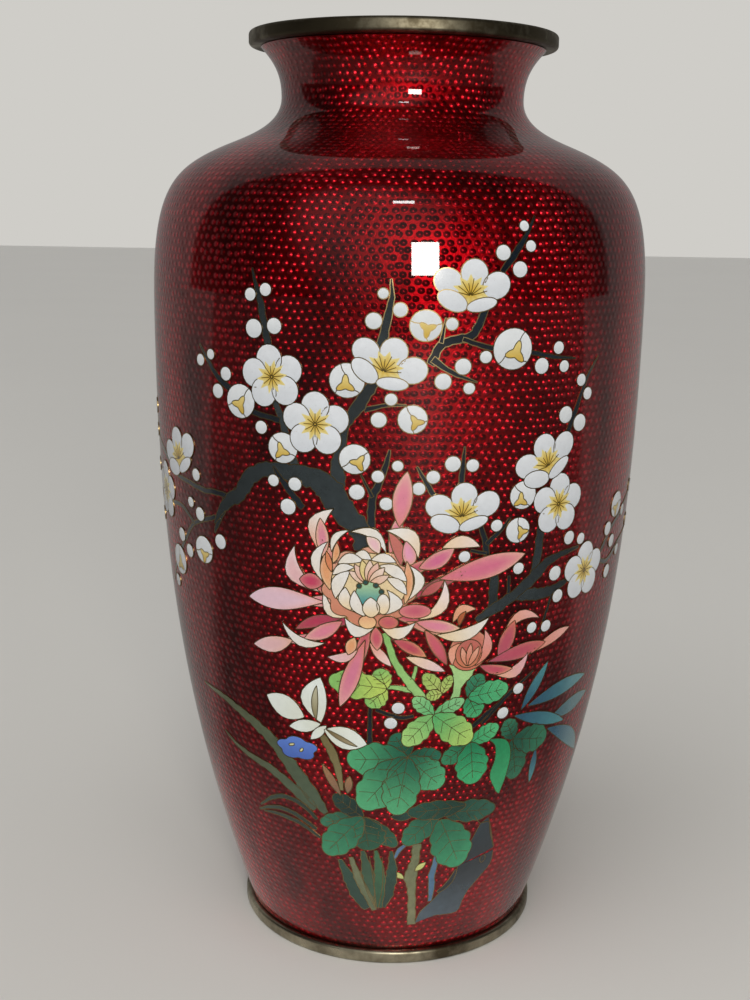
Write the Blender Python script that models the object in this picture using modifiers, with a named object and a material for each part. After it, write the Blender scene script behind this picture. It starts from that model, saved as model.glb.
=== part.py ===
"""A cloisonne vase: a raised copper body with a soldered base, plated rings at mouth and foot,
a ruby enamel coat outside, counter-enamel inside and under the base, and a flush motif of
plum blossom, chrysanthemums and leaves let into the ruby coat.

Metres, +Z up, the origin at the centre of the foot. Outlines on the body are given as a turn
about +Z, in degrees from the front (-Y) towards +X, and a height in millimetres.
"""

import math

import bmesh
import bpy

MM = 0.001
GAP = 0.3  # left between pieces that touch
SEGMENTS = 36  # round the axis
ROWS = (6, 5, 3, 3)  # steps along the profile's four stretches

# Driving dimensions, in millimetres.
HEIGHT = 300.0
MOUTH_RING_RADIUS = 49.7
FOOT_RING_RADIUS = 51.4
RING_HEIGHT = 4.5
FOOT_RADIUS = 49.7
BODY_RADIUS = 80.9
BODY_LEVEL = 215.5
SHOULDER_RADIUS = 59.0
SHOULDER_LEVEL = 263.8
THROAT_RADIUS = 39.2
THROAT_LEVEL = 279.8
LIP_RADIUS = 45.8
LIP_DROP = 0.8  # the enamel ends this far below the mouth ring
FOOT_LEVEL = RING_HEIGHT + GAP
LIP_LEVEL = HEIGHT - RING_HEIGHT - LIP_DROP

# Slopes of the wall, and how far each end of a stretch pulls its curve along the slope.
FOOT_SLOPE = math.radians(18.9)  # out from upright
SHOULDER_SLOPE = math.radians(24.6)  # above level, going inwards
LIP_SLOPE = math.radians(44.3)  # out from upright
FOOT_PULL = 79.0
BODY_PULL_DOWN = 75.4
BODY_PULL_UP = 35.1
SHOULDER_PULL_DOWN = 16.6
SHOULDER_PULL_UP = 7.4
THROAT_PULL_DOWN = 9.4
THROAT_PULL_UP = 6.7
LIP_PULL = 6.5

# The wall's layers, from the outside in.
COAT = 0.8
COPPER = 1.0
LINING = 0.5
COPPER_OUT = COAT + GAP
COPPER_IN = COPPER_OUT + COPPER
LINING_OUT = COPPER_IN + GAP
LINING_IN = LINING_OUT + LINING
LINING_LIP_TRIM = 1  # profile points that the lining stops short of the lip

# The rings are channels that the copper's two edges stand in.
CHANNEL_FLOOR = 2.2
CAP = 1.5  # metal over the mouth ring's channel
FOOT_LEG = 2.6
FOOT_LEG_TOP = 6.5
MOUTH_LEG = 1.3
MOUTH_LEG_END = 3.4  # below the top
EDGE_ROUND = 1.2
PLATE_RADIUS = 47.0
PLATE = 1.0

PLUG_INNER = 0.94  # a cutter reaches from this share of the wall's radius
PLUG_OUTER = 1.15  # to this share

RUBY = (0.30, 0.006, 0.010)
COPPER_COLOUR = (0.60, 0.25, 0.13)
PLATED = (0.42, 0.38, 0.28)
LINING_COLOUR = (0.05, 0.02, 0.02)
WHITE = (0.80, 0.81, 0.78)
ROSE = (0.62, 0.25, 0.22)
CREAM_ROSE = (0.80, 0.56, 0.48)
LEAF_LIGHT = (0.30, 0.52, 0.22)
LEAF_GREEN = (0.06, 0.30, 0.16)
LEAF_DARK = (0.02, 0.16, 0.10)
BRANCH = (0.03, 0.05, 0.055)
STEM_GREEN = (0.25, 0.34, 0.18)
BAMBOO = (0.05, 0.15, 0.20)

# Plum blossoms: turn, height, width, height of the flower.
BLOSSOMS = {
    "top": (15.0, 225.2, 22.0, 14.0),
    "middle": (-0.9, 204.0, 21.6, 14.6),
    "upper_left": (-26.3, 199.5, 19.8, 15.6),
    "lower_left": (-16.5, 186.5, 19.8, 16.4),
    "centre_right": (14.1, 163.4, 21.2, 15.2),
    "upper_right": (32.4, 175.4, 17.6, 15.0),
    "lower_right": (38.2, 160.4, 18.4, 14.4),
    "right_side": (49.8, 137.4, 19.6, 16.4),
    "left_side_upper": (-58.4, 169.8, 19.0, 15.6),
    "left_side_lower": (-70.2, 156.0, 18.6, 16.4),
}

# Lobed pieces: colour, turn, height, width, height, number of lobes, depth of the lobes.
LOBED = {
    "chrysanthemum_front": (CREAM_ROSE, -5.0, 138.0, 40.0, 36.0, 13, 0.16),
    "chrysanthemum_rear": (ROSE, 23.5, 115.6, 30.0, 15.0, 7, 0.14),
    "orchid_flower": (WHITE, -20.0, 94.6, 27.0, 20.0, 3, 0.30),
    "leaf_light": (LEAF_LIGHT, 11.2, 94.0, 18.4, 13.0, 5, 0.10),
    "leaf_left": (LEAF_GREEN, 1.8, 75.4, 28.0, 20.0, 7, 0.09),
    "leaf_right": (LEAF_GREEN, 24.2, 78.0, 17.0, 18.0, 5, 0.10),
    "leaf_far_right": (LEAF_DARK, 39.0, 80.0, 11.0, 16.0, 5, 0.09),
    "leaf_low_left": (LEAF_DARK, -9.6, 53.6, 21.0, 18.0, 5, 0.09),
    "leaf_low_right": (LEAF_DARK, 17.6, 52.6, 26.0, 19.0, 7, 0.09),
}

# Ribbons: colour, half width, points on the middle line.
RIBBONS = {
    "bough_left": (BRANCH, 1.9, ((-46.0, 156.5), (-39.0, 160.0), (-34.0, 167.0), (-26.0, 170.6),
                                 (-17.0, 170.6), (-10.0, 163.5))),
    "bough_middle": (BRANCH, 1.5, ((-6.9, 178.0), (-7.0, 187.0), (-5.2, 194.2))),
    "bough_right": (BRANCH, 1.5, ((24.0, 132.0), (31.0, 136.0), (35.0, 141.5), (35.5, 150.0))),
    "trunk_foot": (BRANCH, 3.6, ((13.0, 21.0), (21.0, 27.0), (29.0, 36.0))),
    "chrysanthemum_stem": (LEAF_LIGHT, 1.0, ((0.5, 115.0), (3.4, 109.0), (6.4, 104.0))),
    "orchid_stems": (STEM_GREEN, 1.9, ((-7.0, 39.5), (-5.4, 32.0), (-3.6, 25.0))),
    "orchid_leaf": (STEM_GREEN, 1.8, ((-21.0, 61.0), (-26.0, 70.0), (-33.0, 79.0), (-43.0, 87.0))),
    "bamboo_leaves": (BAMBOO, 1.7, ((34.0, 95.8), (42.0, 97.8), (52.0, 98.0))),
}


def clear_scene():
    for item in list(bpy.data.objects):
        bpy.data.objects.remove(item)


def collection(name):
    found = bpy.data.collections.new(name)
    bpy.context.scene.collection.children.link(found)
    return found


def material(name, colour, roughness, metallic):
    made = bpy.data.materials.new(name)
    made.use_nodes = True
    shader = made.node_tree.nodes["Principled BSDF"]
    shader.inputs["Base Color"].default_value = (*colour, 1.0)
    shader.inputs["Roughness"].default_value = roughness
    shader.inputs["Metallic"].default_value = metallic
    return made


def bezier(start, pull_start, pull_end, end, steps):
    """The points of one cubic stretch, its start left out."""
    points = []
    for step in range(1, steps + 1):
        t = step / steps
        weights = ((1 - t) ** 3, 3 * (1 - t) ** 2 * t, 3 * (1 - t) * t * t, t ** 3)
        points.append(tuple(
            sum(w * p[axis] for w, p in zip(weights, (start, pull_start, pull_end, end)))
            for axis in (0, 1)
        ))
    return points


def wall_profile():
    """The enamel's outer line from foot to lip, as (radius, height) points."""
    foot = (FOOT_RADIUS, FOOT_LEVEL)
    widest = (BODY_RADIUS, BODY_LEVEL)
    shoulder = (SHOULDER_RADIUS, SHOULDER_LEVEL)
    throat = (THROAT_RADIUS, THROAT_LEVEL)
    lip = (LIP_RADIUS, LIP_LEVEL)
    upright = (0, 1)
    inward = (-math.cos(SHOULDER_SLOPE), math.sin(SHOULDER_SLOPE))
    leaving = (math.sin(FOOT_SLOPE), math.cos(FOOT_SLOPE))
    arriving = (math.sin(LIP_SLOPE), math.cos(LIP_SLOPE))

    def pulled(point, direction, distance):
        return (point[0] + distance * direction[0], point[1] + distance * direction[1])

    stretches = (
        (foot, pulled(foot, leaving, FOOT_PULL), pulled(widest, upright, -BODY_PULL_DOWN), widest),
        (widest, pulled(widest, upright, BODY_PULL_UP),
         pulled(shoulder, inward, -SHOULDER_PULL_DOWN), shoulder),
        (shoulder, pulled(shoulder, inward, SHOULDER_PULL_UP),
         pulled(throat, upright, -THROAT_PULL_DOWN), throat),
        (throat, pulled(throat, upright, THROAT_PULL_UP), pulled(lip, arriving, -LIP_PULL), lip),
    )
    line = [foot]
    for rows, stretch in zip(ROWS, stretches):
        line += bezier(*stretch, rows)
    return line


def inset(line, depth):
    """The line moved inwards by depth, square to itself."""
    moved = []
    for i, (radius, level) in enumerate(line):
        before, after = line[max(i - 1, 0)], line[min(i + 1, len(line) - 1)]
        run, rise = after[0] - before[0], after[1] - before[1]
        length = math.hypot(run, rise)
        moved.append((radius - depth * rise / length, level + depth * run / length))
    return moved


def rounded(corner, radius, start_degrees, steps=3):
    """A quarter round whose centre is corner."""
    points = []
    for step in range(steps + 1):
        angle = math.radians(start_degrees - 90 * step / steps)
        points.append((corner[0] + radius * math.cos(angle), corner[1] + radius * math.sin(angle)))
    return points


def turned(name, section, group, finish):
    """A piece turned about +Z from a closed section that runs down its outer side first.

    A side of the section that lies on the axis is left out.
    """
    mesh = bpy.data.meshes.new(name)
    sides = [(i, (i + 1) % len(section)) for i in range(len(section))]
    edges = [(a, b) for a, b in sides if section[a][0] or section[b][0]]
    mesh.from_pydata([(r * MM, 0, z * MM) for r, z in section], edges, [])
    made = bpy.data.objects.new(name, mesh)
    group.objects.link(made)
    made.data.materials.append(finish)
    screw = made.modifiers.new("Turn", "SCREW")
    screw.axis = "Z"
    screw.steps = screw.render_steps = SEGMENTS
    screw.use_merge_vertices = True
    screw.merge_threshold = 0.00001
    return made


def coat_section(line):
    return list(reversed(line)) + inset(line, COAT)


def spigots(line):
    """The outer radii of the copper's two upright edges, at the foot and at the lip."""
    outer = inset(line, COPPER_OUT)
    return outer[0][0], outer[-1][0]


def copper_section(line):
    """The wall with a spigot at each end that stands in the rings' channels."""
    outer, inner = inset(line, COPPER_OUT), inset(line, COPPER_IN)
    foot_radius, lip_radius = spigots(line)
    foot_end, lip_end = CHANNEL_FLOOR + GAP, HEIGHT - CAP - GAP
    down = [(lip_radius, lip_end)] + list(reversed(outer)) + [(foot_radius, foot_end)]
    up = [(foot_radius - COPPER, foot_end)] + inner + [(lip_radius - COPPER, lip_end)]
    return down + up


def lining_section(line):
    """The inside coat of the wall and of the floor, down to the axis."""
    wall = line[1:-LINING_LIP_TRIM]
    outer, inner = inset(wall, LINING_OUT), inset(wall, LINING_IN)
    floor = FOOT_LEG_TOP + GAP + PLATE + GAP
    down = list(reversed(outer)) + [(PLATE_RADIUS, floor), (0, floor)]
    return down + [(0, floor + LINING), (PLATE_RADIUS - LINING, floor + LINING)] + inner


def channel(spigot):
    """The outer and inner radii of the channel round a spigot."""
    return spigot + GAP, spigot - COPPER - GAP


def foot_ring_bore(line):
    return channel(spigots(line)[0])[1] - FOOT_LEG


def foot_ring_section(line):
    """A channel open upwards: the copper wall stands in it and the base rests on its inner leg."""
    out, bore = FOOT_RING_RADIUS, foot_ring_bore(line)
    groove_out, groove_in = channel(spigots(line)[0])
    section = rounded((out - EDGE_ROUND, RING_HEIGHT - EDGE_ROUND), EDGE_ROUND, 90)
    section += rounded((out - EDGE_ROUND, EDGE_ROUND), EDGE_ROUND, 0)
    section += [(bore, 0), (bore, FOOT_LEG_TOP), (groove_in, FOOT_LEG_TOP)]
    section += [(groove_in, CHANNEL_FLOOR), (groove_out, CHANNEL_FLOOR), (groove_out, RING_HEIGHT)]
    return section


def mouth_ring_section(line):
    """A channel open downwards that caps the copper lip."""
    out, under = MOUTH_RING_RADIUS, HEIGHT - RING_HEIGHT
    groove_out, groove_in = channel(spigots(line)[1])
    bore = groove_in - MOUTH_LEG
    groove_top, leg_end = HEIGHT - CAP, HEIGHT - MOUTH_LEG_END
    section = rounded((out - EDGE_ROUND, HEIGHT - EDGE_ROUND), EDGE_ROUND, 90)
    section += rounded((out - EDGE_ROUND, under + EDGE_ROUND), EDGE_ROUND, 0)
    section += [(groove_out, under), (groove_out, groove_top), (groove_in, groove_top)]
    section += [(groove_in, leg_end), (bore, leg_end)]
    section += [(bore, HEIGHT - EDGE_ROUND), (bore + EDGE_ROUND, HEIGHT)]
    return section


def disc_section(radius, low, high):
    return [(0, high), (radius, high), (radius, low), (0, low)]


def radius_at(line, level):
    """The outer radius at a height below the shoulder."""
    for (r0, z0), (r1, z1) in zip(line, line[1:]):
        if z0 <= level <= z1:
            return r0 + (r1 - r0) * (level - z0) / (z1 - z0)
    raise ValueError(f"no wall at height {level}")


def lobed_outline(line, turn, level, width, height, lobes, depth, grow):
    """A flower or leaf: an ellipse whose edge swells once for each lobe, with a notch between."""
    points = []
    count = max(lobes * 4, 18)
    scale = math.degrees(1 / radius_at(line, level))
    for i in range(count):
        angle = math.tau * i / count
        swell = 1 - depth * (1 - abs(math.cos(lobes * (angle - math.pi / 2) / 2)))
        across = (width / 2 * swell + grow) * math.cos(angle)
        up = (height / 2 * swell + grow) * math.sin(angle)
        points.append((turn + across * scale, level + up))
    return points


def ribbon_outline(line, half_width, path, grow):
    """A bough, stem or leaf blade: both sides of its middle line, narrowing a little to the end."""
    left, right = [], []
    last = len(path) - 1
    for i, (turn, level) in enumerate(path):
        scale = math.degrees(1 / radius_at(line, level))
        before, after = path[max(i - 1, 0)], path[min(i + 1, last)]
        run, rise = (after[0] - before[0]) / scale, after[1] - before[1]
        length = math.hypot(run, rise)
        half = half_width * (1 - 0.25 * i / last) + grow
        end = -grow if i == 0 else grow if i == last else 0
        turn, level = turn + end * run / length * scale, level + end * rise / length
        left.append((turn - half * rise / length * scale, level + half * run / length))
        right.append((turn + half * rise / length * scale, level - half * run / length))
    return right + list(reversed(left))


def plug(name, line, outline, group):
    """A solid with this outline, drawn out from inside the wall to beyond it."""
    mesh = bpy.data.meshes.new(name)
    made = bmesh.new()
    corners = []
    for turn, level in reversed(outline):
        angle, radius = math.radians(turn), PLUG_INNER * radius_at(line, level) * MM
        corners.append(made.verts.new((radius * math.sin(angle), -radius * math.cos(angle), level * MM)))
    drawn = bmesh.ops.extrude_face_region(made, geom=[made.faces.new(corners)], use_keep_orig=True)
    spread = PLUG_OUTER / PLUG_INNER
    for vert in (item for item in drawn["geom"] if isinstance(item, bmesh.types.BMVert)):
        vert.co.x *= spread
        vert.co.y *= spread
    bmesh.ops.recalc_face_normals(made, faces=made.faces)
    bmesh.ops.triangulate(made, faces=made.faces, quad_method="FIXED")
    made.to_mesh(mesh)
    made.free()
    shaped = bpy.data.objects.new(name, mesh)
    group.objects.link(shaped)
    return shaped


def hide_cutter(item):
    item.hide_render = True
    item.display_type = "WIRE"


def boolean(item, other, operation):
    cut = item.modifiers.new(operation.title(), "BOOLEAN")
    cut.operation = operation
    cut.solver = "EXACT"
    cut.object = other


def motif_outlines(line, grow):
    """Every inlaid piece as name: (colour, outline)."""
    made = {}
    for place, (turn, level, width, height) in BLOSSOMS.items():
        outline = lobed_outline(line, turn, level, width, height, 5, 0.22, grow)
        made["plum_blossom_" + place] = (WHITE, outline)
    for name, (colour, *shape) in LOBED.items():
        made[name] = (colour, lobed_outline(line, *shape, grow))
    for name, (colour, half_width, path) in RIBBONS.items():
        made[name] = (colour, ribbon_outline(line, half_width, path, grow))
    return made


def build():
    clear_scene()
    parts, cutters = collection("cloisonne_vase"), collection("cutters")
    line = wall_profile()
    copper = material("raised copper", COPPER_COLOUR, 0.35, 1.0)
    plated = material("plated brass", PLATED, 0.35, 1.0)
    ruby = material("ruby enamel", RUBY, 0.08, 0.3)
    lining = material("counter-enamel", LINING_COLOUR, 0.25, 0.0)

    turned("copper_body", copper_section(line), parts, copper)
    plate_low = FOOT_LEG_TOP + GAP
    turned("base_plate", disc_section(PLATE_RADIUS, plate_low, plate_low + PLATE), parts, copper)
    turned("foot_ring", foot_ring_section(line), parts, plated)
    turned("mouth_ring", mouth_ring_section(line), parts, plated)
    turned("lining_enamel", lining_section(line), parts, lining)
    base_radius = foot_ring_bore(line) - GAP
    base_high = plate_low - GAP
    turned("base_enamel", disc_section(base_radius, base_high - COAT, base_high), parts, lining)

    ground = turned("ruby_ground", coat_section(line), parts, ruby)
    blank = turned("coat_blank", coat_section(line), cutters, ruby)
    hide_cutter(blank)
    finishes = {}
    pieces, pockets = motif_outlines(line, 0.0), motif_outlines(line, GAP)
    for name, (colour, outline) in pieces.items():
        if colour not in finishes:
            finishes[colour] = material(f"cell enamel {len(finishes) + 1}", colour, 0.12, 0.0)
        inlay = plug(name, line, outline, parts)
        inlay.data.materials.append(finishes[colour])
        boolean(inlay, blank, "INTERSECT")
        pocket = plug(name + "_pocket", line, pockets[name][1], cutters)
        hide_cutter(pocket)
        boolean(ground, pocket, "DIFFERENCE")


build()
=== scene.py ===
"""A cloisonne vase: ruby enamel over stippled copper, with flowers and leaves in wired cells.

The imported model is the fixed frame, and every piece here stands on it. Outlines on the wall are given as a
turn about +Z, in degrees from the front (-Y) towards +X, and a level, in millimetres above the foot.
"""

import math

import bpy
import numpy as np
from bpy.props import FloatProperty, FloatVectorProperty, IntProperty, PointerProperty
from mathutils import Matrix, Vector


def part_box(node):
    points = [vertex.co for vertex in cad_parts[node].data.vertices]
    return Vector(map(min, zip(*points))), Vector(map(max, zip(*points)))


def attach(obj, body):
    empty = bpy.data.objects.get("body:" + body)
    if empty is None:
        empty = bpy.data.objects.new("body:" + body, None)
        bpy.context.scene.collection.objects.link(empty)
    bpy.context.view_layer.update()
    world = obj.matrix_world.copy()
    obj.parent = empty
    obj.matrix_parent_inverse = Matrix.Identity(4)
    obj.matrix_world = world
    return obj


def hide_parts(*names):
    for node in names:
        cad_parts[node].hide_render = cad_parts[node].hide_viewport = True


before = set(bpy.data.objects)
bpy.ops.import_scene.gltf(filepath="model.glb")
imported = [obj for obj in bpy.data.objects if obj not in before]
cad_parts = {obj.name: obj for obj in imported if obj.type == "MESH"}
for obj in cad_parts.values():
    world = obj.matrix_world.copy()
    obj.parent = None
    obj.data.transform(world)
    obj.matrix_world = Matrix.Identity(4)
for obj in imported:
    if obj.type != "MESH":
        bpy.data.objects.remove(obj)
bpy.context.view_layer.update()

bl_info = {
    "name": "Cloisonne Vase",
    "version": (1, 0, 0),
    "blender": (4, 5, 0),
    "location": "View3D > Sidebar > Vase",
    "description": "Builds a wired enamel vase around its packed solids",
    "category": "Object",
}

MM = 0.001
PITS = 0.00002  # depth of the pinholes in polished enamel, metres
BODY = "root"

# How deep and how proud the inlay lies, in millimetres.
SINK = 0.3
FIRST_LIFT = 0.05
LAYER = 0.006  # from one cell to the next one over it
WIRE_PROUD = 0.003
CELL_STEP = 1.3  # between a cell's grid points
NOTCH_DEPTH = 0.14  # of a leaf's scallops
VEIN = 0.18  # a vein's width

# The coat, the lining and the rings, in millimetres.
COAT_THICKNESS = 0.8
COPPER_OUT = 1.1  # the copper's outer face below the enamel's
LINING_OUT, LINING_IN = 2.4, 2.9  # the lining's faces below the enamel's outer one
LINING_THICKNESS = 0.5
LINING_FLOOR = 43.0  # radius of the lining's floor
LINING_CORNER = 4.0  # round between the lining's wall and its floor
RING_HEIGHT = 4.5
RING_EDGE = 1.2  # round on a ring's outer edges
GROOVE_OUT, GROOVE_IN = 0.3, 1.3  # a ring's groove, out and in from the copper's face
MOUTH_LEG, FOOT_LEG = 1.6, 2.6  # a ring's metal inside its groove
MOUTH_GROOVE_TOP = 1.5  # below the top
FOOT_GROOVE_FLOOR = 2.2

# The stage, in metres and degrees.
FLOOR_HALF = 6.0
CAMERA_LENS = 49.21  # in millimetres, on a sensor SENSOR wide
SENSOR = 36.0
CAMERA_PLACE = (0.0, -0.4619, 0.24896)
CAMERA_TURN, CAMERA_DIP, CAMERA_ROLL = 0.842, 12.496, 0.938

# The layers where groups start, so that blossoms and buds lie over boughs.
BLOSSOM_LAYER = 30


def srgb(code):
    """A display colour such as #B01020 as linear red, green and blue."""
    shown = np.array([int(code[i:i + 2], 16) for i in (1, 3, 5)]) / 255
    return np.where(shown <= 0.04045, shown / 12.92, ((shown + 0.055) / 1.055) ** 2.4)


def colour(name, description, code):
    """A colour that a user can change."""
    return FloatVectorProperty(
        name=name, description=description, subtype="COLOR", size=3, min=0, max=1,
        default=tuple(float(part) for part in srgb(code)))


def length(name, description, default):
    """A size in millimetres that a user can change."""
    return FloatProperty(name=name, description=description, default=default, min=0)


def box_mm(node):
    """A CAD node's lowest and highest corners, in millimetres."""
    low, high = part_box(node)
    return np.array(low) / MM, np.array(high) / MM


# Properties -------------------------------------------------------------------------------------------

class VaseShape(bpy.types.PropertyGroup):
    """The wall's profile, the stipple, the wires and the rings."""

    body_level: length("Widest level", "Height of the widest place, mm", 215.5)
    shoulder_radius: length("Shoulder radius", "Radius where the shoulder is flattest, mm", 59.0)
    shoulder_level: length("Shoulder level", "Height where the shoulder is flattest, mm", 263.8)
    throat_radius: length("Throat radius", "Radius of the narrowest place of the neck, mm", 39.2)
    throat_level: length("Throat level", "Height of the narrowest place of the neck, mm", 279.8)
    foot_radius: length("Foot radius", "Radius of the enamel at the foot ring, mm", 49.7)
    lip_radius: length("Lip radius", "Radius of the enamel at the mouth ring, mm", 45.8)
    foot_slope: FloatProperty(
        name="Foot slope", description="Wall at the foot, out from upright",
        default=math.radians(18.9), subtype="ANGLE")
    shoulder_slope: FloatProperty(
        name="Shoulder slope", description="Shoulder above level",
        default=math.radians(24.6), subtype="ANGLE")
    lip_slope: FloatProperty(
        name="Lip slope", description="Wall at the lip, out from upright",
        default=math.radians(44.3), subtype="ANGLE")
    dot_pitch: length("Stipple pitch", "Distance between punched dots along a row, mm", 2.55)
    row_pitch: length("Stipple rows", "Distance between rows of punched dots, mm", 2.2)
    wire_width: length("Wire width", "Thickness of the silver wires seen from above, mm", 0.28)
    segments: IntProperty(name="Segments", description="Steps round the vase", default=256, min=32)


class VaseColours(bpy.types.PropertyGroup):
    """The enamels and metals."""

    # The dots' colour is a painted highlight: lighter red laid into the domes' colour, over the shine that
    # the copper itself gives.
    ruby_dome_highlight: colour("Ruby, on the dots", "Ruby glass where the copper throws the light back", "#F02A3A")
    ruby_deep: colour("Ruby, between the dots", "Ruby glass where it lies thick", "#A00812")
    silver: colour("Wire", "Polished silver wire", "#CBB584")
    plate: colour("Plated rings", "White metal with a warm tarnish", "#BDB69E")
    tarnish: colour("Tarnish", "Brown tarnish in the rings' hollows", "#4A4130")
    counter: colour("Counter-enamel", "Dark enamel inside and under the base", "#2A1414")
    copper: colour("Copper", "Raised sheet copper", "#B4654A")
    floor: colour("Floor", "The plain stage", "#D6D4CF")


# The wall ---------------------------------------------------------------------------------------------

class Wall:
    """The enamel's outer face: four cubic curves from foot to lip, turned about +Z, in millimetres."""

    PULLS = ((79.0, 75.4), (35.1, 16.6), (7.4, 9.4), (6.7, 6.5))
    STEPS = 500

    def __init__(self, shape):
        low, high = box_mm("ruby_ground")
        foot = np.array((shape.foot_radius, low[2]))
        widest = np.array((high[0], shape.body_level))
        shoulder = np.array((shape.shoulder_radius, shape.shoulder_level))
        throat = np.array((shape.throat_radius, shape.throat_level))
        lip = np.array((shape.lip_radius, high[2]))
        upright = np.array((0.0, 1.0))
        leaving = np.array((math.sin(shape.foot_slope), math.cos(shape.foot_slope)))
        inward = np.array((-math.cos(shape.shoulder_slope), math.sin(shape.shoulder_slope)))
        arriving = np.array((math.sin(shape.lip_slope), math.cos(shape.lip_slope)))
        ends = (foot, widest, shoulder, throat, lip)
        ways = (leaving, upright, inward, upright, arriving)
        t = np.linspace(0, 1, self.STEPS)[:, None]
        line = []
        for i, (out, back) in enumerate(self.PULLS):
            a, d = ends[i], ends[i + 1]
            b, c = a + out * ways[i], d - back * ways[i + 1]
            line.append((1 - t) ** 3 * a + 3 * (1 - t) ** 2 * t * b + 3 * (1 - t) * t * t * c + t ** 3 * d)
        line = np.vstack([line[0]] + [part[1:] for part in line[1:]])
        self.radius, self.level = line[:, 0], line[:, 1]
        self.reach = np.concatenate([[0], np.cumsum(np.hypot(*np.diff(line, axis=0).T))])
        along = np.gradient(line, axis=0)
        along /= np.hypot(*along.T)[:, None]
        self.out, self.up = along[:, 1], -along[:, 0]

    def at(self, level, what):
        return np.interp(level, self.level, what)

    def place(self, turn, level, lift=0.0):
        """Points on the wall, in metres, lifted square to it by lift millimetres."""
        radius = self.at(level, self.radius) + lift * self.at(level, self.out)
        height = level + lift * self.at(level, self.up)
        angle = np.radians(turn)
        return np.stack(
            np.broadcast_arrays(radius * np.sin(angle), -radius * np.cos(angle), height), -1) * MM

    def degree(self, level):
        """Millimetres along the wall in one degree of turn."""
        return self.at(level, self.radius) * math.pi / 180

    def rows(self, start, end, depth):
        """The profile between two reaches, at even steps, moved inwards by depth: (radius, height)."""
        def line(reach):
            radius, level = (np.interp(reach, self.reach, part) for part in (self.radius, self.level))
            out, up = (np.interp(reach, self.reach, part) for part in (self.out, self.up))
            return np.stack([radius - depth * out, level - depth * up], -1)
        return line(np.asarray(start)) if end is None else line(np.linspace(start, end, 80))


# Meshes -----------------------------------------------------------------------------------------------

def loop_faces(rows, ring, closed):
    """Quads between rows of points that each run in a loop.

    A face runs first along the rows and then round the ring, so that is the way it looks outwards.
    """
    i, j = np.meshgrid(np.arange(rows if closed else rows - 1), np.arange(ring), indexing="ij")
    after, beside = (i + 1) % rows, (j + 1) % ring
    corners = (i * ring + j, after * ring + j, after * ring + beside, i * ring + beside)
    return np.stack(corners, -1).reshape(-1, 4)


class Bodies:
    """A mesh in the making: closed bodies, and a colour for each of their points."""

    def __init__(self):
        self.points, self.quads, self.caps, self.colours, self.count = [], [], [], [], 0

    def add(self, grid, shade=(1.0, 1.0, 1.0), closed=False):
        """Adds one body from loops of points; unless the rows close, each end is one flat face."""
        rows, ring = grid.shape[:2]
        self.quads.append(loop_faces(rows, ring, closed) + self.count)
        if not closed:
            first = np.arange(ring) + self.count
            self.caps += [first.tolist(), (first + (rows - 1) * ring)[::-1].tolist()]
        self.points.append(grid.reshape(-1, 3))
        self.colours.append(np.broadcast_to(shade, grid.shape).reshape(-1, 3))
        self.count += rows * ring

    def piece(self, name, finish, slot, replaces=(), sharp=40):
        """Makes the object, which rides on the body and stands for the CAD nodes named."""
        if not self.count:
            raise RuntimeError(f"{name} has no bodies")
        mesh = bpy.data.meshes.new(name)
        faces = np.concatenate(self.quads).tolist() + self.caps
        mesh.from_pydata(np.concatenate(self.points).tolist(), [], faces)
        shades = np.concatenate(self.colours)
        attribute = mesh.color_attributes.new("cell", "FLOAT_COLOR", "POINT")
        attribute.data.foreach_set("color", np.c_[shades, np.ones(len(shades))].ravel())
        mesh.materials.append(finish)
        mesh.shade_smooth()
        mesh.set_sharp_from_angle(angle=math.radians(sharp))
        made = bpy.data.objects.new(name, mesh)
        bpy.context.scene.collection.objects.link(made)
        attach(made, BODY)
        if replaces:
            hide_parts(*replaces)
        return made


def turned(section, segments):
    """Points of a closed section carried round +Z: rows are the section's points, which run down its outer
    side first, and each row's loop is a circle. The section is in millimetres, the points in metres."""
    section = np.asarray(section, float)
    angle = np.linspace(0, 2 * math.pi, segments, endpoint=False)
    circle = np.stack([np.sin(angle), -np.cos(angle)], -1)
    flat = section[:, None, :1] * circle[None]
    height = np.broadcast_to(section[:, None, 1:], (len(section), segments, 1))
    return np.concatenate([flat, height], -1) * MM


def quarter(centre, radius, start, steps=6):
    """A quarter round, clockwise from start degrees."""
    angle = np.radians(start - 90 * np.linspace(0, 1, steps + 1))
    return np.array(centre) + radius * np.stack([np.cos(angle), np.sin(angle)], -1)


# Cells ------------------------------------------------------------------------------------------------

def smooth_step(x):
    return x * x * (3 - 2 * x)


def blend(colours, along, across):
    """A cell's shading: base to tip along it, and the heart's colour, if any, down its middle."""
    base, tip, heart = (None if code is None else srgb(code) for code in colours)
    mixed = base + (tip - base) * smooth_step(along)[..., None]
    if heart is not None:
        middle = (4 * across * (1 - across) * np.sin(math.pi * along) ** 0.7)[..., None]
        mixed = mixed + (heart - mixed) * np.clip(1.25 * middle - 0.15, 0, 1)
    return mixed


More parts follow.
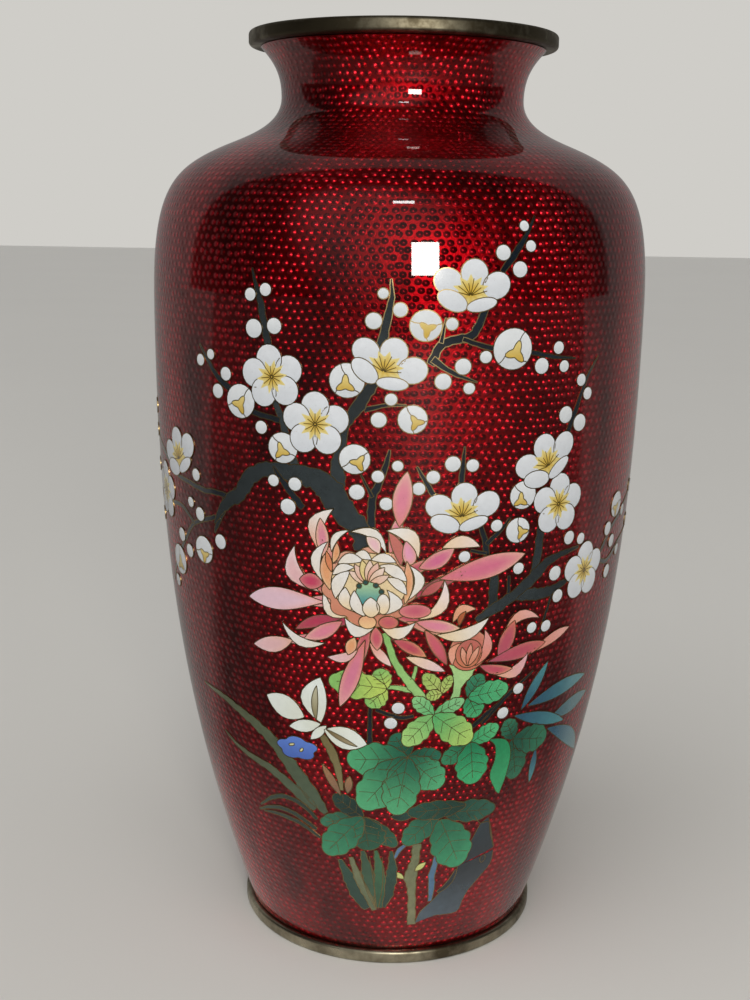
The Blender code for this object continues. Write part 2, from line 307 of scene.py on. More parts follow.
def petal_edges(wall, base, tip, left, right, skew=1.0, fullness=1.0, notches=0):
    """A petal, curl or leaf lobe: its left and right sides from base to tip, and the share of the way along.

    Each side bows off the straight way by its width times sin(pi * s**skew)**fullness, so the shape is widest
    nearer the tip when skew is over 1. A negative width bows to the other side, which gives a crescent.
    Notches scallop both sides of a leaf.
    """
    scale = wall.degree((base[1] + tip[1]) / 2)
    start, end = (np.array(point) * (scale, 1) for point in (base, tip))
    way = (end - start) / math.hypot(*(end - start))
    side = np.array((-way[1], way[0]))
    rows = int(np.clip(math.hypot(*(end - start)) / CELL_STEP, 11, 60)) + 8 * notches
    s = (1 - np.cos(math.pi * np.linspace(0, 1, rows))) / 2
    bow = np.clip(np.sin(math.pi * s ** skew), 0, 1) ** fullness
    bow = bow * (1 - NOTCH_DEPTH * (1 - np.abs(np.cos(notches * math.pi * s))))
    line = start + s[:, None] * (end - start)
    return [(line + (width * bow)[:, None] * side) / (scale, 1) for width in (left, -right)] + [s]


def spline(points):
    """Points about a grid step apart on the smooth curve through the given ones (Catmull-Rom)."""
    points = np.asarray(points, float)
    padded = np.vstack([2 * points[0] - points[1], points, 2 * points[-1] - points[-2]])
    runs = []
    for a, b, c, d in zip(padded, padded[1:], padded[2:], padded[3:]):
        steps = max(2, int(np.hypot(*(c - b)[:2]) / CELL_STEP))
        t = np.linspace(0, 1, steps, endpoint=False)[:, None]
        runs.append(0.5 * (2 * b + (c - a) * t + (2 * a - 5 * b + 4 * c - d) * t ** 2
                           + (3 * b - a - 3 * c + d) * t ** 3))
    return np.vstack(runs + [points[-1:]])


def bough_edges(wall, points):
    """Both edges of a stem whose middle line goes smoothly through (turn, level, width) points. Each edge
    wavers by a twelfth of the width, as two sines of the distance along it, so that thick bark is knobbly."""
    points = np.asarray(points, float)
    scale = wall.degree(points[:, 1].mean())
    line = spline(points * (scale, 1, 1))
    way = np.gradient(line[:, :2], axis=0)
    way /= np.maximum(np.hypot(*way.T), 1e-6)[:, None]
    side = np.stack([-way[:, 1], way[:, 0]], -1) * np.maximum(line[:, 2:], 0.15) / 2
    reach = np.concatenate([[0], np.cumsum(np.hypot(*np.diff(line[:, :2], axis=0).T))])[:, None]
    edges = []
    for sign in (1, -1):
        waver = 1 + (np.sin(1.1 * reach + sign) + np.sin(2.3 * reach - sign)) / 12
        edges.append((line[:, :2] + sign * side * waver) / (scale, 1))
    return edges + [np.linspace(0, 1, len(line))]


def strip_grid(left, right, columns):
    """Rows of points from the left edge to the right one."""
    t = np.linspace(0, 1, columns)
    return left[:, None] * (1 - t[:, None]) + right[:, None] * t[:, None], t


class Inlay:
    """The cells and the wires of one group, laid one over another from the back to the front."""

    def __init__(self, wall, wire_width, layer=0):
        self.wall, self.wire_width = wall, wire_width
        self.cells, self.wires = Bodies(), Bodies()
        self.lift = FIRST_LIFT + layer * LAYER

    def strip(self, left, right, along, colours, wired=True):
        """A cell between two edges, closed below: its loops run over the top and back underneath."""
        widest = np.max(np.hypot(*((left - right) * (self.wall.degree(left[:, 1].mean()), 1)).T))
        flat, t = strip_grid(left, right, int(np.clip(widest / CELL_STEP, 4, 24)))
        over = self.wall.place(flat[..., 0], flat[..., 1], self.lift)
        under = self.wall.place(flat[..., 0], flat[..., 1], -SINK)
        shade = blend(colours, np.broadcast_to(along[:, None], flat.shape[:2]),
                      np.broadcast_to(t, flat.shape[:2]))
        self.cells.add(np.concatenate([over[:, ::-1], under], 1), np.concatenate([shade[:, ::-1], shade], 1))
        if wired:
            self.wire(np.vstack([right, left[::-1]]))

    def petal(self, base, tip, left, right, colours, skew=1.0, fullness=0.8, notches=0):
        self.strip(*petal_edges(self.wall, base, tip, left, right, skew, fullness, notches), colours)
        self.next_layer()

    def lobe(self, base, tip, left, right, colours, skew=1.15):
        """A leaf's scalloped lobe, with a middle vein and side veins that leave it in pairs."""
        left, right = 1.18 * left, 1.18 * right
        self.petal(base, tip, left, right, colours, skew, 0.5, 4)
        scale = self.wall.degree(base[1])
        base, tip = np.array(base), np.array(tip)
        way = (tip - base) * (scale, 1)
        side = np.array((-way[1], way[0])) / math.hypot(*way) / (scale, 1)
        self.thread((base, (base + tip) / 2, base + 0.86 * (tip - base)), VEIN)
        for share in (0.24, 0.46, 0.68):
            start, ahead = base + share * (tip - base), 0.13 * (tip - base)
            for width in (left, -right):
                bow = width * math.sin(math.pi * (share + 0.1) ** skew) ** 0.5
                middle = start + 0.5 * ahead + 0.4 * bow * side
                self.thread((start, middle, start + ahead + 0.72 * bow * side), VEIN)

    def band(self, left, right, colours):
        """A cell between two smooth edges that are given by points."""
        sides = [spline(np.asarray(points, float)) for points in (left, right)]
        along = np.linspace(0, 1, max(map(len, sides)))
        left, right = (np.stack([np.interp(along, np.linspace(0, 1, len(side)), part) for part in side.T], -1)
                       for side in sides)
        self.strip(left, right, along, colours)
        self.next_layer()

    def bough(self, points, colours):
        self.strip(*bough_edges(self.wall, points), colours)
        self.next_layer()

    def next_layer(self):
        self.lift += LAYER

    def coin(self, centre, across, up, colours, turned=0.0, lobes=0, depth=0.0, wired=True):
        """A round, lobed or starry cell.

        Its edge is an ellipse, drawn in by depth between its lobes, which are pointed when depth is negative.
        Its loops grow from the middle outwards over the top and come back underneath.
        """
        around = max(20, int(2 * math.pi * max(across, up) / CELL_STEP), lobes * 10)
        angle = np.linspace(0, 2 * math.pi, around, endpoint=False)
        wave = lobes * (angle - math.pi / 2) / 2
        swell = 1 - depth * (1 - np.abs(np.cos(wave))) if depth > 0 else 1 + depth * np.abs(np.sin(wave))
        x, y = across * swell * np.cos(angle), up * swell * np.sin(angle)
        lean = math.radians(turned)
        x, y = x * math.cos(lean) - y * math.sin(lean), x * math.sin(lean) + y * math.cos(lean)
        steps = np.linspace(0.1, 1, int(np.clip(max(across, up) / CELL_STEP, 3, 14)))[:, None]
        scale = self.wall.degree(centre[1])
        turn, level = centre[0] + x * steps / scale, centre[1] + y * steps
        over = self.wall.place(turn, level, self.lift)
        under = self.wall.place(turn, level, -SINK)[::-1]
        along = np.clip((y * steps / max(np.abs(y).max(), 1e-6) + 1) / 2, 0, 1)
        middle = np.broadcast_to((1 - steps ** 2) / 2, along.shape)
        shade = blend((colours[0], colours[1], None), along, middle)
        if colours[2] is not None:
            shade = shade + (srgb(colours[2]) - shade) * np.clip(1.1 * (1 - steps ** 1.6), 0, 1)[..., None]
        self.cells.add(np.concatenate([over, under]), np.concatenate([shade, shade[::-1]]))
        if wired:
            self.wire(np.stack([turn[-1], level[-1]], -1))
        self.next_layer()

    def wire(self, outline, closed=True, width=None):
        """A flat wire on edge: a small four-sided section carried along the outline."""
        half = (width or self.wire_width) / 2
        scale = self.wall.degree(outline[:, 1].mean())
        line = outline * (scale, 1)
        keep = np.hypot(*(line - np.roll(line, 1, axis=0)).T) > 0.01
        line = line[keep] if closed else line
        way = (np.roll(line, -1, 0) - np.roll(line, 1, 0)) if closed else np.gradient(line, axis=0)
        way /= np.maximum(np.hypot(*way.T), 1e-6)[:, None]
        side = np.stack([-way[:, 1], way[:, 0]], -1) * half
        left, right = (line + side) / (scale, 1), (line - side) / (scale, 1)
        top = self.lift + WIRE_PROUD
        corners = ((right, top), (left, top), (left, -SINK), (right, -SINK))
        grid = np.stack([self.wall.place(edge[:, 0], edge[:, 1], lift) for edge, lift in corners], 1)
        self.wires.add(grid, closed=closed)

    def thread(self, points, width=None):
        """A single wire, such as a vein, through the given points."""
        self.wire(spline(np.asarray(points, float)), closed=False, width=width)

    def pieces(self, name, enamel, slot, replaces=()):
        self.cells.piece(name + "_enamel", enamel, slot, replaces)
        if self.wires.count:
            self.wires.piece(name + "_wires", silver_wire(), "plated_metal")


# Materials --------------------------------------------------------------------------------------------

def node(tree, kind, inputs=None, **settings):
    """Adds a node: settings are its own options, inputs are numbers or sockets by name or place."""
    made = tree.nodes.new("ShaderNode" + kind)
    for key, value in settings.items():
        setattr(made, key, value)
    for key, value in (inputs or {}).items():
        if isinstance(value, bpy.types.NodeSocket):
            tree.links.new(value, made.inputs[key])
        else:
            made.inputs[key].default_value = value
    return made


def material(name):
    """A new material, its tree and its shader, or the one made before and two Nones."""
    found = bpy.data.materials.get(name)
    if found:
        return found, None, None
    made = bpy.data.materials.new(name)
    made.use_nodes = True
    return made, made.node_tree, made.node_tree.nodes["Principled BSDF"]


def finish(shader, **values):
    """Constants, set on the shader's own sockets."""
    for key, value in values.items():
        shader.inputs[key.replace("_", " ").title().replace("Ior", "IOR")].default_value = value


def linear(value):
    return (*value, 1.0)


def mix(tree, factor, a, b, mode="MIX"):
    return node(tree, "Mix", {0: factor, 6: a, 7: b}, data_type="RGBA", blend_type=mode).outputs[2]


def calc(tree, operation, *values):
    """The result of a sum on numbers or sockets."""
    return node(tree, "Math", dict(enumerate(values)), operation=operation).outputs[0]


def span(tree, value, low, high, start, end, way="LINEAR"):
    """A value that goes from start to end as the given one goes from low to high."""
    made = node(tree, "MapRange", {0: value, 1: low, 2: high, 3: start, 4: end}, interpolation_type=way)
    return made.outputs[0]


def noise(tree, place, scale, detail, roughness=0.5):
    """Cloudy noise, with scale in clouds to the metre."""
    made = node(tree, "TexNoise", {"Vector": place, "Scale": scale, "Detail": detail, "Roughness": roughness})
    return made.outputs[0]


def scaled(tree, tint, by):
    return node(tree, "VectorMath", {0: tint, "Scale": by}, operation="SCALE").outputs[0]


def relief(tree, shader, strength, distance, height):
    """Bumps in the shader's surface, distance metres high."""
    bump = node(tree, "Bump", {"Strength": strength, "Distance": distance, "Height": height}).outputs[0]
    tree.links.new(bump, shader.inputs["Normal"])


def object_place(tree):
    return node(tree, "TexCoord").outputs["Object"]


def ruby_enamel(colours):
    """Transparent ruby glass fired over copper that was punched with rows of small domes, then polished.

    The eye sees each dome catch the light through the red glass, deeper red between them, and sharp
    reflections in the smooth glass over it all. The domes' lighter red is a painted highlight in the colour.
    """
    made, tree, shader = material("ruby enamel over stippled copper")
    if tree is None:
        return made
    place = node(tree, "UVMap", uv_map="dots").outputs[0]
    parts = node(tree, "SeparateXYZ", {0: place})
    row = calc(tree, "FLOOR", parts.outputs[1])
    shifted = calc(tree, "MULTIPLY_ADD", calc(tree, "MODULO", row, 2.0), 0.5, parts.outputs[0])
    where = node(tree, "CombineXYZ", {0: calc(tree, "FLOOR", shifted), 1: row}).outputs[0]
    chance = node(tree, "TexWhiteNoise", {0: where}, noise_dimensions="3D")
    inside = node(tree, "CombineXYZ", {
        0: calc(tree, "FRACT", shifted), 1: calc(tree, "FRACT", parts.outputs[1])}).outputs[0]
    random = {0: chance.outputs[1], 1: (0.5, 0.5, 0.5)}
    spread = node(tree, "VectorMath", random, operation="SUBTRACT").outputs[0]
    jitter = node(tree, "VectorMath", {0: spread, 1: (0.34, 0.30, 0.0)}, operation="MULTIPLY").outputs[0]
    centred = node(tree, "VectorMath", {0: inside, 1: (0.5, 0.5, 0.0)}, operation="SUBTRACT").outputs[0]
    offset = node(tree, "VectorMath", {0: centred, 1: jitter}, operation="SUBTRACT").outputs[0]
    away = node(tree, "VectorMath", {0: offset}, operation="LENGTH").outputs[1]
    dome = span(tree, away, 0.0, 0.47, 1.0, 0.0, "SMOOTHSTEP")
    coords = object_place(tree)
    grain = noise(tree, coords, 900.0, 3.0)
    leaning = {"Rotation": (0.5, 0.6, 0.3), "Scale": (1, 1, 0.3)}
    brushed = node(tree, "Mapping", {"Vector": coords, **leaning}).outputs[0]
    cloud = noise(tree, brushed, 46.0, 4.0)
    # Painted highlight: the domes' tops get the lighter red, more on some domes than on others.
    lit = span(tree, calc(tree, "MULTIPLY", dome, chance.outputs[0]), 0.0, 0.40, 0.0, 1.0)
    red = mix(tree, lit, linear(colours.ruby_deep), linear(colours.ruby_dome_highlight))
    shade = span(tree, cloud, 0.34, 0.62, 0.42, 1.25)
    tree.links.new(scaled(tree, red, shade), shader.inputs["Base Color"])
    relief(tree, shader, 0.85, 0.0006, calc(tree, "MULTIPLY_ADD", grain, 0.16, dome))
    finish(shader, metallic=1.0, roughness=0.40, coat_weight=1.0, coat_roughness=0.02, coat_ior=1.5)
    return made


def cell_enamel(name, roughness, mottle):
    """Opaque glass enamel ground flush and polished: each cell keeps the shading that was painted into it.

    The eye sees clean colour with faint clouding where the powder was laid in wet, a few pinholes, and a
    wet gloss.
    """
    made, tree, shader = material(name)
    if tree is None:
        return made
    tint = node(tree, "Attribute", attribute_name="cell").outputs["Color"]
    coords = object_place(tree)
    cloud = noise(tree, coords, 420.0, 4.0, 0.6)
    level = span(tree, cloud, 0.3, 0.7, 1 - mottle, 1 + mottle / 2)
    specks = span(tree, noise(tree, coords, 2600.0, 2.0), 0.66, 0.74, 1.0, 0.82)
    both = calc(tree, "MULTIPLY", level, specks)
    tree.links.new(scaled(tree, tint, both), shader.inputs["Base Color"])
    relief(tree, shader, 0.5, PITS, cloud)
    finish(shader, roughness=roughness, coat_weight=1.0, coat_roughness=0.03, coat_ior=1.5)
    return made


def silver_wire():
    """Drawn silver wire, ground flush with the enamel: thin bright lines, duller where it has tarnished."""
    made, tree, shader = material("drawn silver wire")
    if tree is None:
        return made
    patch = noise(tree, object_place(tree), 260.0, 2.0)
    bright = linear(bpy.context.scene.vase_colours.silver)
    tree.links.new(mix(tree, patch, linear(srgb("#64532E")), bright), shader.inputs["Base Color"])
    tree.links.new(span(tree, patch, 0.0, 1.0, 0.42, 0.24), shader.inputs["Roughness"])
    finish(shader, metallic=1.0)
    return made


def plated_ring(colours):
    """Brass plated with white metal, turned and softly polished, and tarnished since.

    The eye sees fine lines round the ring, a dull silver shine and warm brown patches.
    """
    made, tree, shader = material("plated brass, turned")
    if tree is None:
        return made
    coords = object_place(tree)
    # Darker and rougher towards the top: above 0.10 m the patch value rises with height, so the mouth ring
    # comes out duller than the foot ring.
    upper = span(tree, node(tree, "SeparateXYZ", {0: coords}).outputs[2], 0.10, 0.20, 0.0, 0.16)
    patch = calc(tree, "ADD", noise(tree, coords, 55.0, 5.0, 0.65), upper)
    tarnished = span(tree, patch, 0.38, 0.66, 0.0, 0.92)
    tree.links.new(mix(tree, tarnished, linear(colours.plate), linear(colours.tarnish)),
                   shader.inputs["Base Color"])
    flat = node(tree, "Mapping", {"Vector": coords, "Scale": (1.0, 1.0, 60.0)}).outputs[0]
    relief(tree, shader, 0.25, 0.00005, noise(tree, flat, 70.0, 3.0))
    tree.links.new(span(tree, patch, 0.3, 0.8, 0.22, 0.6), shader.inputs["Roughness"])
    finish(shader, metallic=1.0)
    return made


def counter_enamel(colours):
    """Dark glass fired on the hidden faces and left as it came from the kiln: glossy, a little uneven."""
    made, tree, shader = material("fired counter-enamel")
    if tree is None:
        return made
    coords = object_place(tree)
    cloud = noise(tree, coords, 120.0, 5.0)
    dark = linear(srgb("#120909"))
    tree.links.new(mix(tree, cloud, dark, linear(colours.counter)), shader.inputs["Base Color"])
    relief(tree, shader, 0.35, 0.0002, noise(tree, coords, 330.0, 2.0))
    finish(shader, roughness=0.22, coat_weight=0.6, coat_roughness=0.08, coat_ior=1.5)
    return made


def raised_copper(colours):
    """Sheet copper raised with a hammer: soft shine, small facets and brown fire scale."""
    made, tree, shader = material("raised copper")
    if tree is None:
        return made
    coords = object_place(tree)
    facets = node(tree, "TexVoronoi", {"Vector": coords, "Scale": 160.0}, feature="SMOOTH_F1").outputs[0]
    scale = noise(tree, coords, 45.0, 5.0)
    tree.links.new(mix(tree, scale, linear(colours.copper), linear(srgb("#5B2B1E"))),
                   shader.inputs["Base Color"])
    relief(tree, shader, 0.4, 0.0003, facets)
    finish(shader, metallic=1.0, roughness=0.38)
    return made


# Motif data -------------------------------------------------------------------------------------------
# Places are (turn, level). Colours are (base, tip, heart) of a cell.

WHITE_PETAL = ("#CACFD6", "#DADEE4", None)
BUD_WHITE = ("#C8CDD2", "#DCE0E4", None)
FLOWER_HEART = ("#DDD08E", "#DDD08E", "#C8A53E")
STAMEN = ("#4E4018", "#6A5820", None)
BUD_HEART = ("#C2A040", "#D8C47C", None)
BARK = ("#30383B", "#23292B", None)
TWIG = ("#151B22", "#1B242C", None)

# Blossoms seen from the front: turn, level, flower width and height in millimetres, first petal's angle.
OPEN_BLOSSOMS = {
    "upper_left": (-26.3, 198.2, 20.3, 16.6, 27),
    "lower_left": (-16.6, 185.5, 20.2, 17.0, 18),
    "lower_right": (37.8, 160.5, 19.6, 17.5, 18),
    "right_side": (49.2, 137.0, 20.0, 17.0, 20),
    "left_side_lower": (-68.5, 155.5, 19.0, 18.0, 15),
}

# Blossoms seen from below: turn, level, lean in degrees.
TILTED_BLOSSOMS = {
    "top": (14.3, 222.6, 0),
    "middle": (-2.7, 201.3, -17),
    "centre_right": (14.2, 159.2, 6),
    "upper_right": (34.0, 172.5, 27),
    "left_side_upper": (-57.5, 168.0, 20),
}

# Their petals from back to front: place from the centre, half width, half height, lean.
TILTED_PETALS = (
    (-6.4, 3.9, 4.2, 3.7, -20), (1.1, 6.2, 4.0, 4.0, 0), (7.7, 2.8, 4.3, 3.8, 25),
    (-5.1, -1.4, 4.6, 2.7, -25), (3.4, -2.5, 4.6, 1.9, 12),
)

# Half-open buds: turn, level, radius, turn and level of the yellow point.
HALF_OPEN = (
    (-34.3, 190.2, 5.3, -34.5, 189.2), (-23.9, 177.8, 4.8, -24.2, 176.8), (-10.0, 198.5, 5.2, -10.3, 197.3),
    (-8.3, 176.0, 4.6, -7.5, 175.0), (5.5, 214.3, 4.6, 5.8, 213.4), (3.3, 187.9, 4.3, 4.0, 187.0),
    (23.8, 207.6, 6.2, 24.5, 206.5), (28.0, 164.6, 4.5, 27.5, 163.0), (27.3, 154.0, 4.1, 28.3, 153.3),
    (-48.6, 141.3, 4.6, -48.5, 139.5), (-62.0, 134.0, 5.2, -61.8, 132.6), (62.5, 155.0, 4.4, 62.2, 153.6),
)

# Round buds: turn, level, radius.
ROUND_BUDS = (
    (-31.5, 221.3, 2.0), (-27.8, 222.9, 2.0), (-30.6, 211.7, 2.9), (-25.7, 212.8, 2.45), (-38.3, 197.7, 2.2),
    (-40.8, 192.3, 2.3), (-46.4, 200.8, 1.9), (-42.9, 202.9, 1.7), (-29.0, 183.2, 2.1), (-3.0, 223.0, 1.6),
    (-4.8, 215.4, 2.45), (0.4, 218.6, 2.1), (-1.1, 193.5, 1.85), (-3.5, 187.6, 2.35), (26.2, 241.7, 1.6),
    (21.2, 234.4, 2.3), (27.5, 236.2, 1.75), (24.9, 229.8, 2.4), (10.7, 214.8, 1.85), (13.2, 202.9, 2.45),
    (17.9, 205.5, 1.9), (9.2, 198.7, 2.45), (14.6, 196.7, 1.8), (30.8, 202.4, 2.5), (35.0, 207.4, 2.0),
    (36.75, 201.9, 1.9), (42.1, 197.4, 2.0), (44.4, 193.1, 2.0), (38.0, 187.5, 2.7), (42.4, 184.6, 2.75),
    (-26.25, 167.8, 1.9), (-21.2, 167.4, 2.15), (-22.9, 160.4, 2.55), (-3.5, 171.2, 1.9), (-7.8, 166.4, 2.4),
    (-1.7, 163.2, 2.0), (0.5, 174.4, 1.7), (4.9, 167.8, 2.0), (7.8, 171.2, 2.05), (11.8, 175.0, 2.4),
    (16.0, 174.4, 2.0), (15.2, 147.1, 1.85), (22.1, 156.0, 1.95), (28.25, 142.0, 1.95), (42.2, 149.1, 2.3),
    (46.4, 147.9, 1.95), (38.8, 138.5, 2.5), (40.5, 130.8, 2.25), (58.6, 148.0, 2.4), (62.0, 143.1, 2.3),
    (61.5, 133.1, 2.4), (67.4, 138.7, 2.0), (68.0, 151.8, 2.0), (33.6, 122.0, 1.9), (37.9, 121.6, 2.05),
    (32.0, 102.0, 2.0), (28.4, 94.4, 2.1), (1.8, 98.8, 2.05), (0.1, 93.6, 2.05), (-49.8, 164.9, 2.1),
    (-52.8, 155.5, 1.8), (-49.1, 152.6, 2.35), (-59.0, 143.2, 2.4), (-55.3, 139.0, 2.3), (-42.1, 145.6, 2.5),
    (-65.8, 125.7, 2.2), (-78.0, 181.0, 2.6), (-78.0, 173.0, 2.2), (-80.0, 161.0, 2.4), (-77.0, 145.0, 2.3),
    (77.0, 146.0, 2.2), (75.5, 158.0, 2.1),
)

# Boughs and twigs by group: paths of (turn, level, width).
BOUGHS = {
    "bough_left": (
        ((-21.0, 171.5, 3.0), (-22.0, 176, 2.4), (-24, 186, 2.2), (-25.5, 190.5, 1.8), (-26.5, 196, 1.8),
         (-27.2, 207, 2.4), (-28.3, 214, 2.2), (-29, 219, 2.2), (-30.2, 224, 1.2), (-31.3, 228.8, 0.5)),
        ((-24.6, 185.8, 1.6), (-27.5, 186.5, 1.6), (-32.0, 188.0, 1.6), (-38, 194, 2.0), (-41, 196.5, 1.6),
         (-44, 201, 1.2), (-46.8, 205.5, 0.5)),
        ((-34.5, 163.5, 3.0), (-39.5, 158.8, 3.2), (-42.5, 152, 2.0), (-44, 148, 0.6)),
        ((-38.5, 160.5, 1.6), (-43, 161.0, 1.6), (-47, 160.7, 1.6), (-53.5, 161.8, 1.4), (-60, 163.0, 1.2),
         (-68, 168, 1.4), (-76, 172, 1.2), (-84, 180, 0.5)),
        ((-42.0, 153.5, 1.4), (-47, 151.5, 1.4), (-52.5, 148.5, 1.2), (-56, 144, 1.2), (-60.5, 138, 1.2),
         (-66, 131, 1.0), (-71, 124, 0.5)),
        ((-52.0, 149.0, 1.0), (-58, 153, 1.2), (-66, 152, 1.4), (-76, 150, 1.2), (-86, 155, 0.5)),
        ((-6.5, 149, 5), (-6.9, 154.5, 6), (-10.4, 160, 7), (-13.2, 165.5, 8), (-16.5, 169.3, 6.5),
         (-24.5, 171, 4.6), (-29.5, 170.2, 4.4), (-33, 166.8, 5), (-35.2, 162.2, 4.4), (-38.4, 159.5, 4),
         (-41.5, 155.5, 2.4), (-43.8, 151, 0.6)),
        ((-26.3, 172, 0.5), (-24.8, 169, 1.4), (-21.5, 163.5, 2), (-19.5, 160.5, 1.8)),
    ),
    "bough_middle": (
        ((-6.4, 190.3, 1.4), (-2, 191.8, 1.0), (2, 191.9, 0.4)),
        ((-4.4, 203, 2.4), (-3, 210, 2.6), (-2, 217, 2.2), (-1.3, 222, 1.4), (-1.5, 227, 0.5)),
        ((-1.2, 179, 0.6), (-1.8, 175, 1.5), (-3.3, 169, 2), (-4.6, 164.5, 2.2), (-4.8, 156, 2.2)),
        ((-7, 171.5, 0.4), (-4.6, 165.0, 1.0)),
        ((-12, 168, 5.0), (-11.7, 176, 3.5), (-11, 181, 2.8), (-10.2, 186, 2.6), (-8, 190.5, 3.5),
         (-6.5, 194, 3.5), (-4.4, 198.5, 2.8)),
    ),
    "bough_right": (
        ((4.4, 174.3, 0.5), (6, 170.5, 1.2), (8.6, 164.5, 1.6)),
        ((14.2, 180, 0.4), (14, 175.5, 1.2), (13.7, 168.5, 1.8)),
        ((18.2, 157, 1.2), (19.8, 151, 1.8), (20.3, 146.0, 1.8)),
        ((25.3, 158, 0.6), (23.6, 155, 1.0), (20.0, 150.4, 1.4)),
        ((16.5, 148.8, 0.8), (20.2, 147.6, 1.0)),
        ((21.8, 144.0, 1.6), (22.4, 139.5, 2.9), (22.6, 130.5, 2.9)),
        ((26, 140, 0.8), (26.4, 133, 1.2)),
        ((28.2, 133.6, 3.4), (34, 132.8, 3.8), (38, 133, 3.2), (43, 135.2, 1.6)),
        ((32.6, 138, 3.2), (33.2, 147, 2.9), (33.3, 153, 2.7), (33.5, 159, 1.8)),
        ((36.2, 119, 1.0), (38.5, 131.5, 0.8)),
        ((19.0, 126.5, 2.2), (21.5, 128.8, 3.0), (24.5, 131, 3.6), (28.5, 134.3, 3.2), (33, 139, 4.0),
         (36, 142.5, 3.0), (40, 144.2, 2.0), (46, 145.4, 0.8)),
        ((6.6, 203.5, 2.4), (9, 209.3, 2.4), (14.5, 211.3, 2.4), (16.2, 214.5, 2.2), (17.5, 219, 2.0)),
        ((9.5, 216.5, 0.5), (8.6, 209.5, 1.2)),
        ((13.0, 210.6, 1.2), (18, 208.3, 1.4), (23, 207.3, 1.2), (28.5, 206.3, 1.2), (34, 204.8, 1.0),
         (40, 204, 0.4)),
        ((7.0, 205, 2.0), (10, 202, 1.4), (13, 200, 1.0), (16.3, 198.4, 0.3)),
        ((20.0, 226, 1.4), (21.2, 229.6, 1.6), (23.5, 233.5, 2.0), (26.5, 239, 1.2), (29, 244.5, 0.4)),
        ((38.0, 176, 1.6), (39, 182, 1.6), (41, 188.5, 1.6), (42.5, 193.5, 1.2), (44.5, 199, 1.0),
         (47.5, 204, 0.3)),
        ((56.0, 141, 1.4), (60, 147, 1.4), (65, 150.5, 1.2), (74, 156, 1.0), (82, 158, 0.4)),
        ((56.5, 138, 1.4), (61, 137, 1.4), (68, 141, 1.2), (78, 144, 0.5)),
    ),
}

BUD_STALKS = (
    ((20.5, 91, 1.4), (24, 95, 1.4), (27, 98, 1.0), (31, 103, 0.6)),
    ((23, 91.5, 1.0), (29, 100, 1.2), (36, 107, 0.6)),
    ((-3.5, 98, 1.0), (2, 95.5, 1.2), (5.5, 96, 1.0)),
    ((-4.8, 99, 1.0), (-5, 86, 1.6)),
)


# The cells of the other groups, from back to front. Each starts with the kind of cell:
# petal and lobe have base, tip, left and right width and colours, and may have a skew and a fullness;
# coin has its centre, half width, half height and colours; bough has its points; band has two edges.

CREAM = ("#E3CCA6", "#E2DEDA", None)
MILK = ("#E0D8CC", "#E1DFDD", None)
PEACH = ("#DFBA90", "#DDA88C", "#DB9A6C")
BLUSH = ("#E0AE97", "#E2C2C8", "#DEB3B6")
PINK = ("#D28478", "#E0AFA2", "#D67E96")
ROSE = ("#C8776A", "#DA9A88", "#BE5266")
CRIMSON = ("#8C4650", "#AE5A5C", "#B03A56")
APRICOT = ("#DC9B78", "#E1A890", None)
SALMON = ("#D98F74", "#E1B49A", "#D78A86")
RUST = ("#A05032", "#B0603C", None)

